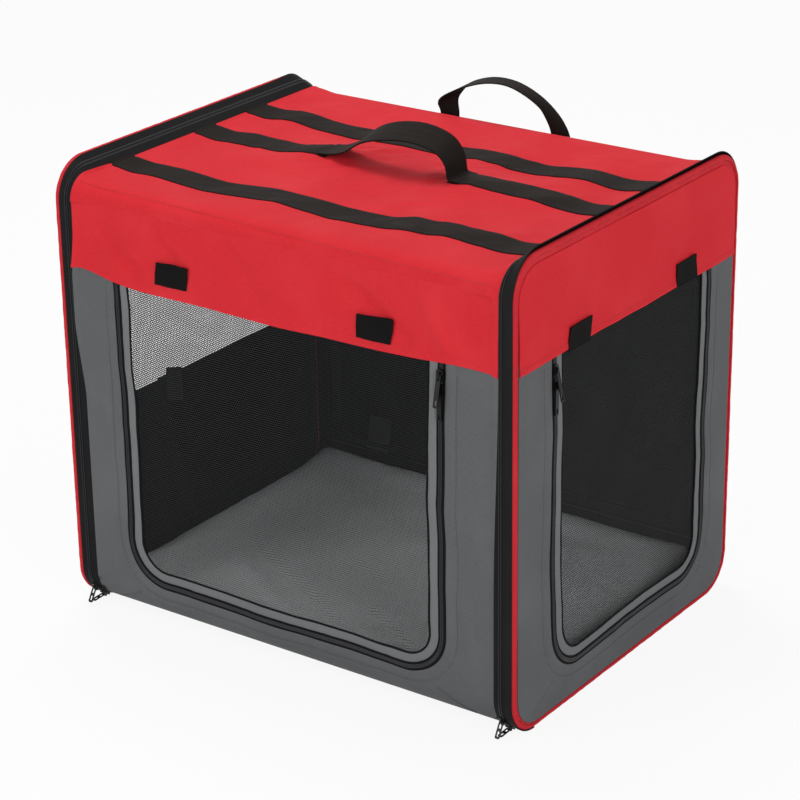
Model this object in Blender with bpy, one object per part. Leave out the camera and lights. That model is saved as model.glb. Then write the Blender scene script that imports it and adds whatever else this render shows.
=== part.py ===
"""Soft-sided pet travel crate with two framed ends that unzip, so that the sleeve folds flat.

The origin is the middle of the footprint at ground level. X runs along the crate, the wide front
faces -Y, the end with a door faces +X, and Z is up. Everything is in metres.
"""

import bpy
import bmesh
from math import atan2, cos, pi, radians, sin
from mathutils import Matrix, Vector

# Overall size
LENGTH = 0.600
DEPTH = 0.457
HEIGHT = 0.533
END_CORNER_RADIUS = 0.045

# Clearance between neighbouring pieces
SEAT = 0.0003

# Cloth thicknesses
SKIN = 0.0020
SHEET = 0.0015
NETTING = 0.0008
WEBBING = 0.0018

# Sleeve between the two ends
SLEEVE_RECESS = 0.003
ROOF_DROP = 0.020
SLEEVE_BOTTOM_RADIUS = 0.045
ROOF_EDGE_RADIUS = 0.020
LOWER_FOLD_HEIGHT = 0.050
BACK_FOLD_SLIT = 0.0024
VALANCE_HEIGHT = 0.411
FRONT_SPLIT_ANGLE = radians(45)

# Piping with a steel rod in it, round each end
PIPING_RADIUS = 0.0035
PIPING_BORE_RADIUS = 0.0023
PIPING_ROD_RADIUS = 0.0020
PIPING_FLANGE_REACH = 0.015
PIPING_FLANGE_RECESS = 0.0010
PIPING_FLANGE_THICKNESS = 0.0012
PIPING_SLOT_ANGLE = radians(-30)

# Zip band that joins each end to the sleeve
BAND_WIDTH = 0.0204
BAND_THICKNESS = 0.0020
BAND_RECESS = 0.0010

# Steel rod loop in the front and in the back wall
LOOP_RADIUS = 0.0030
LOOP_SIDE_MARGIN = 0.014
LOOP_TOP_MARGIN = 0.009
FRONT_LOOP_BOTTOM = 0.045
BACK_LOOP_RISE = 0.008
LOOP_BEND_RADIUS = 0.020

# Doors: how far the middle line of each zip lies inside the edges of its wall
FRONT_ZIP_LEFT_MARGIN = 0.057
FRONT_ZIP_RIGHT_MARGIN = 0.061
FRONT_ZIP_BOTTOM = 0.052
FRONT_ZIP_RADIUS = 0.050
SIDE_ZIP_FRONT_MARGIN = 0.0765
SIDE_ZIP_BACK_MARGIN = 0.0665
SIDE_ZIP_BOTTOM = 0.049
SIDE_ZIP_RADIUS = 0.048
TAPE_WIDTH = 0.0047
DOOR_EDGE_WIDTH = 0.0094
DOOR_TOP_DROP = 0.0010

# Hook-and-loop tabs: how far the middle of each lies inside the side of its door or wall
TAB_WIDTH = 0.042
TAB_HEIGHT = 0.026
TAB_RISE = 0.003
FRONT_TAB_MARGINS = (0.079, 0.082)
SIDE_TAB_MARGINS = (0.046, 0.052)
BACK_TAB_MARGIN = 0.136
BACK_TAB_DROP = 0.0015
INNER_TAB_SIZE = (0.032, 0.042)
INNER_TAB_MARGIN = 0.073
INNER_TAB_RISE = 0.013

# Webbing across the roof and the two handles
STRAP_WIDTH = 0.038
STRAP_FRONT_MARGIN = 0.082
STRAP_BACK_MARGIN = 0.129
HANDLE_SPAN = 0.160
HANDLE_RISE = 0.0312
HANDLE_THICKNESS = 0.003
HANDLE_PLACE = -0.004
BACK_HANDLE_WIDTH = 0.025
BACK_HANDLE_SPAN = 0.177
BACK_HANDLE_PLACE = -0.0075
BACK_HANDLE_FOOT_DROP = 0.025
BACK_HANDLE_SHOULDER_RISE = 0.007
BACK_HANDLE_TOP_RISE = 0.047

# Floor board, mat and the pocket outside the left end
BOARD_THICKNESS = 0.003
BOARD_END_MARGIN = 0.030
BOARD_SIDE_MARGIN = 0.0025
BOARD_CORNER = 0.012
MAT_THICKNESS = 0.035
MAT_END_MARGIN = 0.026
MAT_SIDE_MARGIN = 0.014
MAT_CORNER = 0.030
MAT_EDGE_ROUNDING = 0.016
POCKET_SIDE_MARGIN = 0.0485
POCKET_BOTTOM = 0.060
POCKET_TOP = 0.2185
POCKET_DEPTH = 0.0065
POCKET_RIM = 0.008
POCKET_TAB_PLACE = -0.052
POCKET_TAB_SIZE = (0.034, 0.048)
POCKET_TAB_DROP = 0.0249

# Zip sliders and their pulls
SLIDER_WIDTH = 0.0085
SLIDER_LENGTH = 0.013
SLIDER_THICKNESS = 0.0026
SLIDER_CORNER = 0.0032
BAIL_LENGTH = 0.0080
BAIL_WIDTH = 0.0020
BAIL_HEIGHT = 0.0034
BAIL_BAR = 0.0011
BAIL_SINK = 0.0006
PULL_WIDTH = 0.0056
PULL_THICKNESS = 0.0012
PULL_CORNER = 0.0017
PULL_EYE_WIDTH = 0.0028
PULL_EYE_LENGTH = 0.0065
PULL_BAR = 0.0012
DOOR_PULL_LENGTH = 0.036
END_PULL_LENGTH = 0.019
PULL_HOLE_WIDTH = 0.0026
PULL_HOLE_LENGTH = 0.0060
PULL_HOLE_MARGIN = 0.0022
DOOR_SLIDER_DROPS = (0.0135, 0.0295)
DOOR_PULL_SWINGS = (radians(-12), 0.0)
END_SLIDER_ANGLES = (radians(32), radians(56))
END_PULL_SWINGS = (radians(-88), radians(-30))

# Roundness of curves
CORNER_STEPS = 6
SMALL_CORNER_STEPS = 4
TINY_CORNER_STEPS = 3
ROD_SIDES = 8
PIPING_STEPS = 9
ARCH_STEPS = 14
TONGUE_STEPS = 5
SHARP_ANGLE = radians(40)

# Worked out from the sizes above
HALF_LENGTH = LENGTH / 2
HALF_DEPTH = DEPTH / 2
SLEEVE_Y = HALF_DEPTH - SLEEVE_RECESS
SLEEVE_X = HALF_LENGTH - 2 * PIPING_RADIUS - BAND_WIDTH - 2 * SEAT
BAND_INNER_X = SLEEVE_X + SEAT
BAND_OUTER_X = BAND_INNER_X + BAND_WIDTH
ROOF_HEIGHT = HEIGHT - ROOF_DROP
UPPER_FOLD_HEIGHT = ROOF_HEIGHT - ROOF_EDGE_RADIUS
FLOOR_FLAT_Y = SLEEVE_Y - SLEEVE_BOTTOM_RADIUS
WALL_INNER_Y = SLEEVE_Y - SKIN
LOOP_FROM_MIDDLE = WALL_INNER_Y - SEAT - LOOP_RADIUS
LOOP_HALF_WIDTH = SLEEVE_X - LOOP_SIDE_MARGIN
BACK_LOOP_BOTTOM = LOWER_FOLD_HEIGHT + BACK_LOOP_RISE
SHEET_OUTER_X = HALF_LENGTH - PIPING_FLANGE_RECESS
STRAP_PLACES = (-SLEEVE_Y + STRAP_FRONT_MARGIN, 0.0, SLEEVE_Y - STRAP_BACK_MARGIN)
STRAP_TOP = ROOF_HEIGHT + SEAT + WEBBING
HANDLE_PIVOT_HEIGHT = ROOF_HEIGHT + SEAT + STRAP_WIDTH / 2
HANDLE_REACH = (HANDLE_SPAN + HANDLE_THICKNESS) / 2 + SEAT
BACK_HANDLE_FOOT = UPPER_FOLD_HEIGHT - BACK_HANDLE_FOOT_DROP
BACK_HANDLE_PIVOT_Y = SLEEVE_Y + SEAT + HANDLE_THICKNESS / 2
# An end turns about its own piping, so that it lies on the ground and not in it.
END_HINGE_HEIGHT = 0.006
DOOR_HINGE_HEIGHT = VALANCE_HEIGHT - DOOR_TOP_DROP / 2
DOOR_TOP = VALANCE_HEIGHT - DOOR_TOP_DROP
FRONT_ZIP_LEFT = -SLEEVE_X + FRONT_ZIP_LEFT_MARGIN
FRONT_ZIP_RIGHT = SLEEVE_X - FRONT_ZIP_RIGHT_MARGIN
SIDE_ZIP_FRONT = -HALF_DEPTH + SIDE_ZIP_FRONT_MARGIN
SIDE_ZIP_BACK = HALF_DEPTH - SIDE_ZIP_BACK_MARGIN
FRONT_TAB_PLACES = (FRONT_ZIP_LEFT + FRONT_TAB_MARGINS[0], FRONT_ZIP_RIGHT - FRONT_TAB_MARGINS[1])
SIDE_TAB_PLACES = (SIDE_ZIP_FRONT + SIDE_TAB_MARGINS[0], SIDE_ZIP_BACK - SIDE_TAB_MARGINS[1])
POCKET_HALF_WIDTH = HALF_DEPTH - POCKET_SIDE_MARGIN


def hex_colour(text):
    """Linear colour from an sRGB hex value."""
    channels = [int(text[i:i + 2], 16) / 255 for i in (0, 2, 4)]
    linear = [c / 12.92 if c <= 0.04045 else ((c + 0.055) / 1.055) ** 2.4 for c in channels]
    return (*linear, 1.0)


def material(name, colour, roughness, metallic=0.0):
    made = bpy.data.materials.new(name)
    made.use_nodes = True
    surface = made.node_tree.nodes["Principled BSDF"]
    surface.inputs["Base Color"].default_value = hex_colour(colour)
    surface.inputs["Roughness"].default_value = roughness
    surface.inputs["Metallic"].default_value = metallic
    return made


def clear_scene():
    for old in list(bpy.data.objects):
        bpy.data.objects.remove(old, do_unlink=True)


def joint_frame(name, at, parent=None):
    """An empty on a joint's axis, which carries the pieces that move with it."""
    empty = bpy.data.objects.new(name, None)
    bpy.context.scene.collection.objects.link(empty)
    attach(empty, at, parent)
    return empty


def attach(thing, at, parent):
    """Place a thing at a point of the crate, as a child of a joint frame."""
    base = Vector(parent["place"]) if parent else Vector((0, 0, 0))
    thing.parent = parent
    thing.location = Vector(at) - base
    thing["place"] = tuple(at)


def piece(name, mesh, look, parent=None, at=(0, 0, 0), turn=(0, 0, 0), smooth=False):
    """A named sub-part made of a mesh that is drawn round the point it is placed at."""
    made = bpy.data.objects.new(name, mesh)
    bpy.context.scene.collection.objects.link(made)
    if not mesh.materials:
        mesh.materials.append(look)
    if smooth:
        mesh.shade_smooth()
        mesh.set_sharp_from_angle(angle=SHARP_ANGLE)
    attach(made, at, parent)
    made.rotation_euler = turn
    return made


def mesh_from(name, build):
    """A mesh with its faces turned outward, from a bmesh."""
    bmesh.ops.recalc_face_normals(build, faces=build.faces)
    mesh = bpy.data.meshes.new(name)
    build.to_mesh(mesh)
    build.free()
    return mesh


def prism(name, outline, low, high, plane, shift=(0, 0, 0)):
    """A flat outline with a thickness. The plane names its two axes, and the thickness is the third."""
    across, up = ("xyz".index(axis) for axis in plane)
    through = 3 - across - up
    build = bmesh.new()
    corners = []
    for u, v in outline:
        point = [0.0, 0.0, 0.0]
        point[across], point[up], point[through] = u, v, low
        corners.append(build.verts.new(Vector(point) - Vector(shift)))
    face = build.faces.new(corners)
    grown = bmesh.ops.extrude_face_region(build, geom=[face])
    step = [0.0, 0.0, 0.0]
    step[through] = high - low
    lifted = [item for item in grown["geom"] if isinstance(item, bmesh.types.BMVert)]
    bmesh.ops.translate(build, verts=lifted, vec=step)
    return mesh_from(name, build)


def arc(centre_u, centre_v, radius, start, end, steps):
    """Points round an arc, both ends included."""
    turns = [start + (end - start) * step / steps for step in range(steps + 1)]
    return [(centre_u + radius * cos(turn), centre_v + radius * sin(turn)) for turn in turns]


def rectangle(low_u, high_u, low_v, high_v):
    return [(low_u, low_v), (high_u, low_v), (high_u, high_v), (low_u, high_v)]


def rounded_rectangle(low_u, high_u, low_v, high_v, radius, steps=CORNER_STEPS):
    corners = (
        (high_u - radius, high_v - radius, 0.0),
        (low_u + radius, high_v - radius, pi / 2),
        (low_u + radius, low_v + radius, pi),
        (high_u - radius, low_v + radius, 3 * pi / 2),
    )
    points = []
    for centre_u, centre_v, start in corners:
        points += arc(centre_u, centre_v, radius, start, start + pi / 2, steps)
    return points


def door_line(left, right, bottom, top, radius, inset=0.0):
    """Down the left side, round both lower corners and up the right side, moved inward by inset."""
    left, right, bottom, radius = left + inset, right - inset, bottom + inset, radius - inset
    points = [(left, top)]
    points += arc(left + radius, bottom + radius, radius, pi, 3 * pi / 2, CORNER_STEPS)
    points += arc(right - radius, bottom + radius, radius, -pi / 2, 0.0, CORNER_STEPS)
    return points + [(right, top)]


def door_strip(line, outer_inset, inner_inset):
    """The strip between two insets of a door line."""
    return door_line(*line, inset=outer_inset) + door_line(*line, inset=inner_inset)[::-1]


def loft(name, rings, closed):
    """Skin the rings of points in order. A closed row of rings meets itself, an open one is capped."""
    build = bmesh.new()
    rows = [[build.verts.new(point) for point in ring] for ring in rings]
    count = len(rows[0])
    pairs = list(zip(rows, rows[1:] + rows[:1])) if closed else list(zip(rows, rows[1:]))
    for here, there in pairs:
        for corner in range(count):
            following = (corner + 1) % count
            build.faces.new((here[corner], here[following], there[following], there[corner]))
    if not closed:
        build.faces.new(rows[0])
        build.faces.new(rows[-1])
    return mesh_from(name, build)


def cutter(name, mesh, at=(0, 0, 0)):
    """A solid that cuts another one and is not a sub-part."""
    tool = bpy.data.objects.new(name, mesh)
    bpy.context.scene.collection.objects.link(tool)
    tool.location = at
    tool.hide_render = True
    tool.display_type = "WIRE"
    return tool


def cut(target, tool, operation="DIFFERENCE"):
    change = target.modifiers.new(tool.name, "BOOLEAN")
    change.operation = operation
    change.solver = "EXACT"
    change.object = tool


def settled_mesh(name, mesh, changes):
    """The mesh left by a row of Boolean changes, for pieces that share it."""
    block = cutter(name + "_block", mesh)
    for number, (tool_mesh, operation) in enumerate(changes):
        cut(block, cutter(f"{name}_tool_{number}", tool_mesh), operation)
    bpy.context.view_layer.update()
    view = bpy.context.evaluated_depsgraph_get()
    settled = bpy.data.meshes.new_from_object(block.evaluated_get(view))
    settled.name = name
    return settled


def end_outline(half_depth, bottom, top, low_radius, high_radius):
    """Half round an end: from the floor by the front, up, over and down to the floor by the back."""
    low_y, high_y = half_depth - low_radius, half_depth - high_radius
    points = arc(-low_y, bottom + low_radius, low_radius, -pi / 2, -pi, CORNER_STEPS)
    points += arc(-high_y, top - high_radius, high_radius, pi, pi / 2, CORNER_STEPS)
    points += arc(high_y, top - high_radius, high_radius, pi / 2, 0.0, CORNER_STEPS)
    points += arc(low_y, bottom + low_radius, low_radius, 0.0, -pi / 2, CORNER_STEPS)
    return points


def make_materials():
    return {
        "red": material("red_polyester_canvas", "D2343B", 0.75),
        "grey": material("grey_polyester_canvas", "606163", 0.80),
        "binding": material("light_grey_binding_tape", "77797B", 0.80),
        "lining": material("black_coated_canvas", "232323", 0.85),
        "netting": material("black_polyester_netting", "1E1E1E", 0.70),
        "tape": material("black_zip_tape", "2A2A2D", 0.75),
        "webbing": material("black_polypropylene_webbing", "25231F", 0.70),
        "loop": material("black_hook_and_loop_tape", "1C1C1C", 0.90),
        "fleece": material("grey_fleece_mat", "5A5C5D", 0.95),
        "board": material("grey_fibre_board", "77736C", 0.85),
        "steel": material("steel_rod", "9B9DA0", 0.35, 1.0),
        "zinc": material("black_painted_zinc", "1B1B1C", 0.45, 0.3),
    }


def make_base(looks):
    """The floor with its upturned front and back edges, the stiff board and the mat."""
    centre = (FLOOR_FLAT_Y, SLEEVE_BOTTOM_RADIUS)
    half_split = SEAT / 2 / SLEEVE_BOTTOM_RADIUS
    start = pi + FRONT_SPLIT_ANGLE + half_split
    inner_radius = SLEEVE_BOTTOM_RADIUS - SKIN
    outer = arc(-centre[0], centre[1], SLEEVE_BOTTOM_RADIUS, start, 3 * pi / 2, SMALL_CORNER_STEPS)
    outer += arc(*centre, SLEEVE_BOTTOM_RADIUS, -pi / 2, 0.0, CORNER_STEPS)
    outer.append((SLEEVE_Y, LOWER_FOLD_HEIGHT))
    inner = arc(-centre[0], centre[1], inner_radius, start, 3 * pi / 2, SMALL_CORNER_STEPS)
    inner += arc(*centre, inner_radius, -pi / 2, 0.0, CORNER_STEPS)
    inner.append((WALL_INNER_Y, LOWER_FOLD_HEIGHT))
    mesh = prism("floor_skin", outer + inner[::-1], -BAND_OUTER_X, BAND_OUTER_X, "yz")
    floor = piece("floor_skin", mesh, looks["lining"], smooth=True)

    # The zip bands turn up at the corners, so only the flat of the floor reaches the ends
    notch_from = FLOOR_FLAT_Y - SEAT
    for side in (-1, 1):
        for face in (-1, 1):
            notch = prism(
                "floor_notch",
                rectangle(SLEEVE_X, HALF_LENGTH, notch_from, HALF_DEPTH),
                -SKIN, LOWER_FOLD_HEIGHT + SKIN, "xy",
            )
            notch.transform(Matrix.Diagonal((side, face, 1, 1)))
            if side * face < 0:
                notch.flip_normals()
            cut(floor, cutter("floor_notch", notch))

    half_length = HALF_LENGTH - BOARD_END_MARGIN
    half_depth = FLOOR_FLAT_Y - BOARD_SIDE_MARGIN
    board = rounded_rectangle(
        -half_length, half_length, -half_depth, half_depth, BOARD_CORNER, SMALL_CORNER_STEPS)
    board_low = SKIN + SEAT
    board_high = board_low + BOARD_THICKNESS
    piece("floor_board", prism("floor_board", board, board_low, board_high, "xy"), looks["board"])

    mat_low = board_high + SEAT
    half_length = HALF_LENGTH - MAT_END_MARGIN
    half_depth = WALL_INNER_Y - MAT_SIDE_MARGIN
    plan = rounded_rectangle(
        -half_length, half_length, -half_depth, half_depth, MAT_CORNER, SMALL_CORNER_STEPS)
    block = prism("mat", plan, 0.0, MAT_THICKNESS, "xy")
    build = bmesh.new()
    build.from_mesh(block)
    rims = [edge for edge in build.edges if abs(edge.verts[0].co.z - edge.verts[1].co.z) < SEAT]
    bmesh.ops.bevel(
        build, geom=rims, offset=MAT_EDGE_ROUNDING, segments=SMALL_CORNER_STEPS,
        profile=0.5, affect="EDGES", material=-1,
    )
    piece("mat", mesh_from("mat", build), looks["fleece"], at=(0, 0, mat_low), smooth=True)


def rod_loop(name, corners, bend, radius, to_point):
    """A round rod bent into a closed rounded rectangle. The last argument places a ring point."""
    low_u, high_u, low_v, high_v = corners
    line = rounded_rectangle(low_u, high_u, low_v, high_v, bend)
    rings = []
    for number, (u, v) in enumerate(line):
        before, after = line[number - 1], line[(number + 1) % len(line)]
        heading = atan2(after[1] - before[1], after[0] - before[0])
        outward = (sin(heading), -cos(heading))
        ring = []
        for side in range(ROD_SIDES):
            turn = 2 * pi * (side + 0.5) / ROD_SIDES
            reach, lift = radius * cos(turn), radius * sin(turn)
            ring.append(to_point(u + reach * outward[0], v + reach * outward[1], lift))
        rings.append(ring)
    return loft(name, rings, closed=True)


def wall_loop(name, look, parent, face, bottom):
    """The steel rod loop that keeps the front or the back wall stretched."""
    corners = (-LOOP_HALF_WIDTH, LOOP_HALF_WIDTH, bottom, UPPER_FOLD_HEIGHT - LOOP_TOP_MARGIN)
    origin = Vector(parent["place"])

    def to_point(u, v, lift):
        return Vector((u, face * LOOP_FROM_MIDDLE + lift, v)) - origin

    mesh = rod_loop(name, corners, LOOP_BEND_RADIUS, LOOP_RADIUS, to_point)
    piece(name, mesh, look, parent, parent["place"], smooth=True)


def front_line():
    return (FRONT_ZIP_LEFT, FRONT_ZIP_RIGHT, FRONT_ZIP_BOTTOM, DOOR_TOP, FRONT_ZIP_RADIUS)


def side_line():
    return (SIDE_ZIP_FRONT, SIDE_ZIP_BACK, SIDE_ZIP_BOTTOM, DOOR_TOP, SIDE_ZIP_RADIUS)


def make_front_wall(looks, frame):
    """The front: grey border down to the turn of the floor, red band, rod loop, zip tape, tabs."""
    origin = frame["place"]
    half_split = SEAT / 2 / SLEEVE_BOTTOM_RADIUS
    end = pi + FRONT_SPLIT_ANGLE - half_split
    centre = (-FLOOR_FLAT_Y, SLEEVE_BOTTOM_RADIUS)
    outer = [(-SLEEVE_Y, VALANCE_HEIGHT - SEAT)]
    outer += arc(*centre, SLEEVE_BOTTOM_RADIUS, pi, end, SMALL_CORNER_STEPS)
    inner = [(-SLEEVE_Y + SKIN, VALANCE_HEIGHT - SEAT)]
    inner += arc(*centre, SLEEVE_BOTTOM_RADIUS - SKIN, pi, end, SMALL_CORNER_STEPS)
    mesh = prism("front_panel", outer + inner[::-1], -SLEEVE_X, SLEEVE_X, "yz", origin)
    panel = piece("front_panel", mesh, looks["grey"], frame, origin, smooth=True)
    edge = TAPE_WIDTH + 2 * SEAT
    left, right, bottom, top, radius = front_line()
    opening = door_line(left, right, bottom, top + SKIN, radius, inset=-edge)
    cut(panel, cutter("front_opening", prism(
        "front_opening", opening, -SLEEVE_Y - SKIN, -SLEEVE_Y + 2 * SKIN, "xz")))

    band = rectangle(-SLEEVE_X, SLEEVE_X, VALANCE_HEIGHT, UPPER_FOLD_HEIGHT - SEAT / 2)
    mesh = prism("front_valance", band, -SLEEVE_Y, -SLEEVE_Y + SKIN, "xz", origin)
    piece("front_valance", mesh, looks["red"], frame, origin)
    wall_loop("front_rod_loop", looks["steel"], frame, -1, FRONT_LOOP_BOTTOM)
    tape = door_strip(front_line(), -TAPE_WIDTH - SEAT, -SEAT / 2)
    mesh = prism("front_zip_fixed", tape, -SLEEVE_Y, -SLEEVE_Y + SHEET, "xz", origin)
    piece("front_zip_fixed", mesh, looks["tape"], frame, origin)


def make_front_door(looks, frame, slider, pull):
    origin = frame["place"]
    line = front_line()
    outer = -SLEEVE_Y
    tape = door_strip(line, SEAT / 2, TAPE_WIDTH)
    mesh = prism("front_zip_moving", tape, outer, outer + SHEET, "xz", origin)
    piece("front_zip_moving", mesh, looks["tape"], frame, origin)
    edge = door_strip(line, TAPE_WIDTH + SEAT, TAPE_WIDTH + DOOR_EDGE_WIDTH)
    mesh = prism("front_door_edge", edge, outer, outer + SHEET, "xz", origin)
    piece("front_door_edge", mesh, looks["binding"], frame, origin)
    sheet = door_line(*line, inset=TAPE_WIDTH + DOOR_EDGE_WIDTH + SEAT)
    mesh = prism("front_door_netting", sheet, outer + SEAT, outer + SEAT + NETTING, "xz", origin)
    piece("front_door_netting", mesh, looks["netting"], frame, origin)
    for number, drop in enumerate(DOOR_SLIDER_DROPS):
        place = (FRONT_ZIP_RIGHT, outer, DOOR_TOP - drop)
        add_slider("front_zip", number, looks, frame, place, slider, pull)


def make_side_door(looks, frame, slider, pull):
    origin = frame["place"]
    line = side_line()
    outer = SHEET_OUTER_X
    tape = door_strip(line, SEAT / 2, TAPE_WIDTH)
    mesh = prism("side_zip_moving", tape, outer - SHEET, outer, "yz", origin)
    piece("side_zip_moving", mesh, looks["tape"], frame, origin)
    edge = door_strip(line, TAPE_WIDTH + SEAT, TAPE_WIDTH + DOOR_EDGE_WIDTH)
    mesh = prism("side_door_edge", edge, outer - SHEET, outer, "yz", origin)
    piece("side_door_edge", mesh, looks["binding"], frame, origin)
    sheet = door_line(*line, inset=TAPE_WIDTH + DOOR_EDGE_WIDTH + SEAT)
    mesh = prism("side_door_netting", sheet, outer - SEAT - NETTING, outer - SEAT, "yz", origin)
    piece("side_door_netting", mesh, looks["netting"], frame, origin)
    for number, drop in enumerate(DOOR_SLIDER_DROPS):
        place = (outer, SIDE_ZIP_FRONT, DOOR_TOP - drop)
        add_slider("side_zip", number, looks, frame, place, slider, pull, turn=pi / 2)


def add_slider(zip_name, number, looks, parent, place, slider, pull, turn=0.0):
    """A slider on a straight stretch of zip, its pull hanging from the bail. The upper pull lies on
    the lower slider."""
    carriage = joint_frame(f"{zip_name}_travel_{number + 1}", place, parent)
    name = f"{zip_name}_slider_{number + 1}"
    piece(name, slider, looks["zinc"], carriage, place, (0, 0, turn), smooth=True)
    outward = Matrix.Rotation(turn, 3, "Z") @ Vector((0, -bail_axis_depth(), bail_axis_rise()))
    hang = tuple(Vector(place) + outward)
    swing = joint_frame(f"{zip_name}_swing_{number + 1}", hang, carriage)
    tilt = (DOOR_PULL_SWINGS[number], 0, turn)
    piece(f"{zip_name}_pull_{number + 1}", pull, looks["zinc"], swing, hang, tilt)


def bail_axis_depth():
    """How far the pull's bar lies outside the tape."""
    return SEAT + SLIDER_THICKNESS + (BAIL_HEIGHT - BAIL_BAR - BAIL_SINK) / 2


def bail_axis_rise():
    """How far the pull's bar lies above the slider's middle."""
    return BAIL_LENGTH / 2 - BAIL_BAR - PULL_BAR


def slider_mesh():
    """A rounded block with a bail over its outer face, drawn round a point on the tape."""
    body = rounded_rectangle(
        -SLIDER_WIDTH / 2, SLIDER_WIDTH / 2, -SLIDER_LENGTH / 2, SLIDER_LENGTH / 2,
        SLIDER_CORNER, TINY_CORNER_STEPS,
    )
    face = -SEAT - SLIDER_THICKNESS
    block = prism("slider", body, face, -SEAT, "xz")
    half = BAIL_LENGTH / 2
    root = face + BAIL_SINK
    crown = face + BAIL_SINK - BAIL_HEIGHT
    arch = [
        (root, -half), (crown + BAIL_BAR, -half), (crown, -half + BAIL_BAR),
        (crown, half - BAIL_BAR), (crown + BAIL_BAR, half), (root, half),
        (root, half - BAIL_BAR), (crown + BAIL_BAR, half - BAIL_BAR),
        (crown + BAIL_BAR, -half + BAIL_BAR), (root, -half + BAIL_BAR),
    ]
    bail = prism("bail", arch, -BAIL_WIDTH / 2, BAIL_WIDTH / 2, "yz")
    return settled_mesh("zip_slider", block, [(bail, "UNION")])


def pull_mesh(name, length):
    """A flat pull drawn round the bar that sits in the bail, with an eye and an oval hole."""
    half = PULL_WIDTH / 2
    top = PULL_BAR / 2
    plate = rounded_rectangle(-half, half, top - length, top, PULL_CORNER, TINY_CORNER_STEPS)
    block = prism(name, plate, -PULL_THICKNESS / 2, PULL_THICKNESS / 2, "xz")
    eye_half = PULL_EYE_WIDTH / 2
    eye = rectangle(-eye_half, eye_half, -top - PULL_EYE_LENGTH, -top)
    hole_half = PULL_HOLE_WIDTH / 2
    low = top - length + PULL_HOLE_MARGIN
    hole = rounded_rectangle(
        -hole_half, hole_half, low, low + PULL_HOLE_LENGTH, hole_half, SMALL_CORNER_STEPS)
    changes = []
    for shape in (eye, hole):
        drill = prism(name + "_hole", shape, -PULL_THICKNESS, PULL_THICKNESS, "xz")
        changes.append((drill, "DIFFERENCE"))
    return settled_mesh(name, block, changes)


def add_tab(name, looks, parent, place, size, face, plane="xz"):
    """A hook-and-loop tab that turns down about its lower edge. Face is +1 or -1, the way it looks."""
    half = size[0] / 2
    shape = rectangle(-half, half, 0.0, size[1])
    mesh = prism(name, shape, -SHEET / 2, SHEET / 2, plane)
    at = list(place)
    through = 1 if plane == "xz" else 0
    at[through] += face * (SEAT + SHEET / 2)
    hinge = joint_frame(name + "_hinge", tuple(at), parent)
    piece(name, mesh, looks["loop"], hinge, tuple(at))


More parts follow.
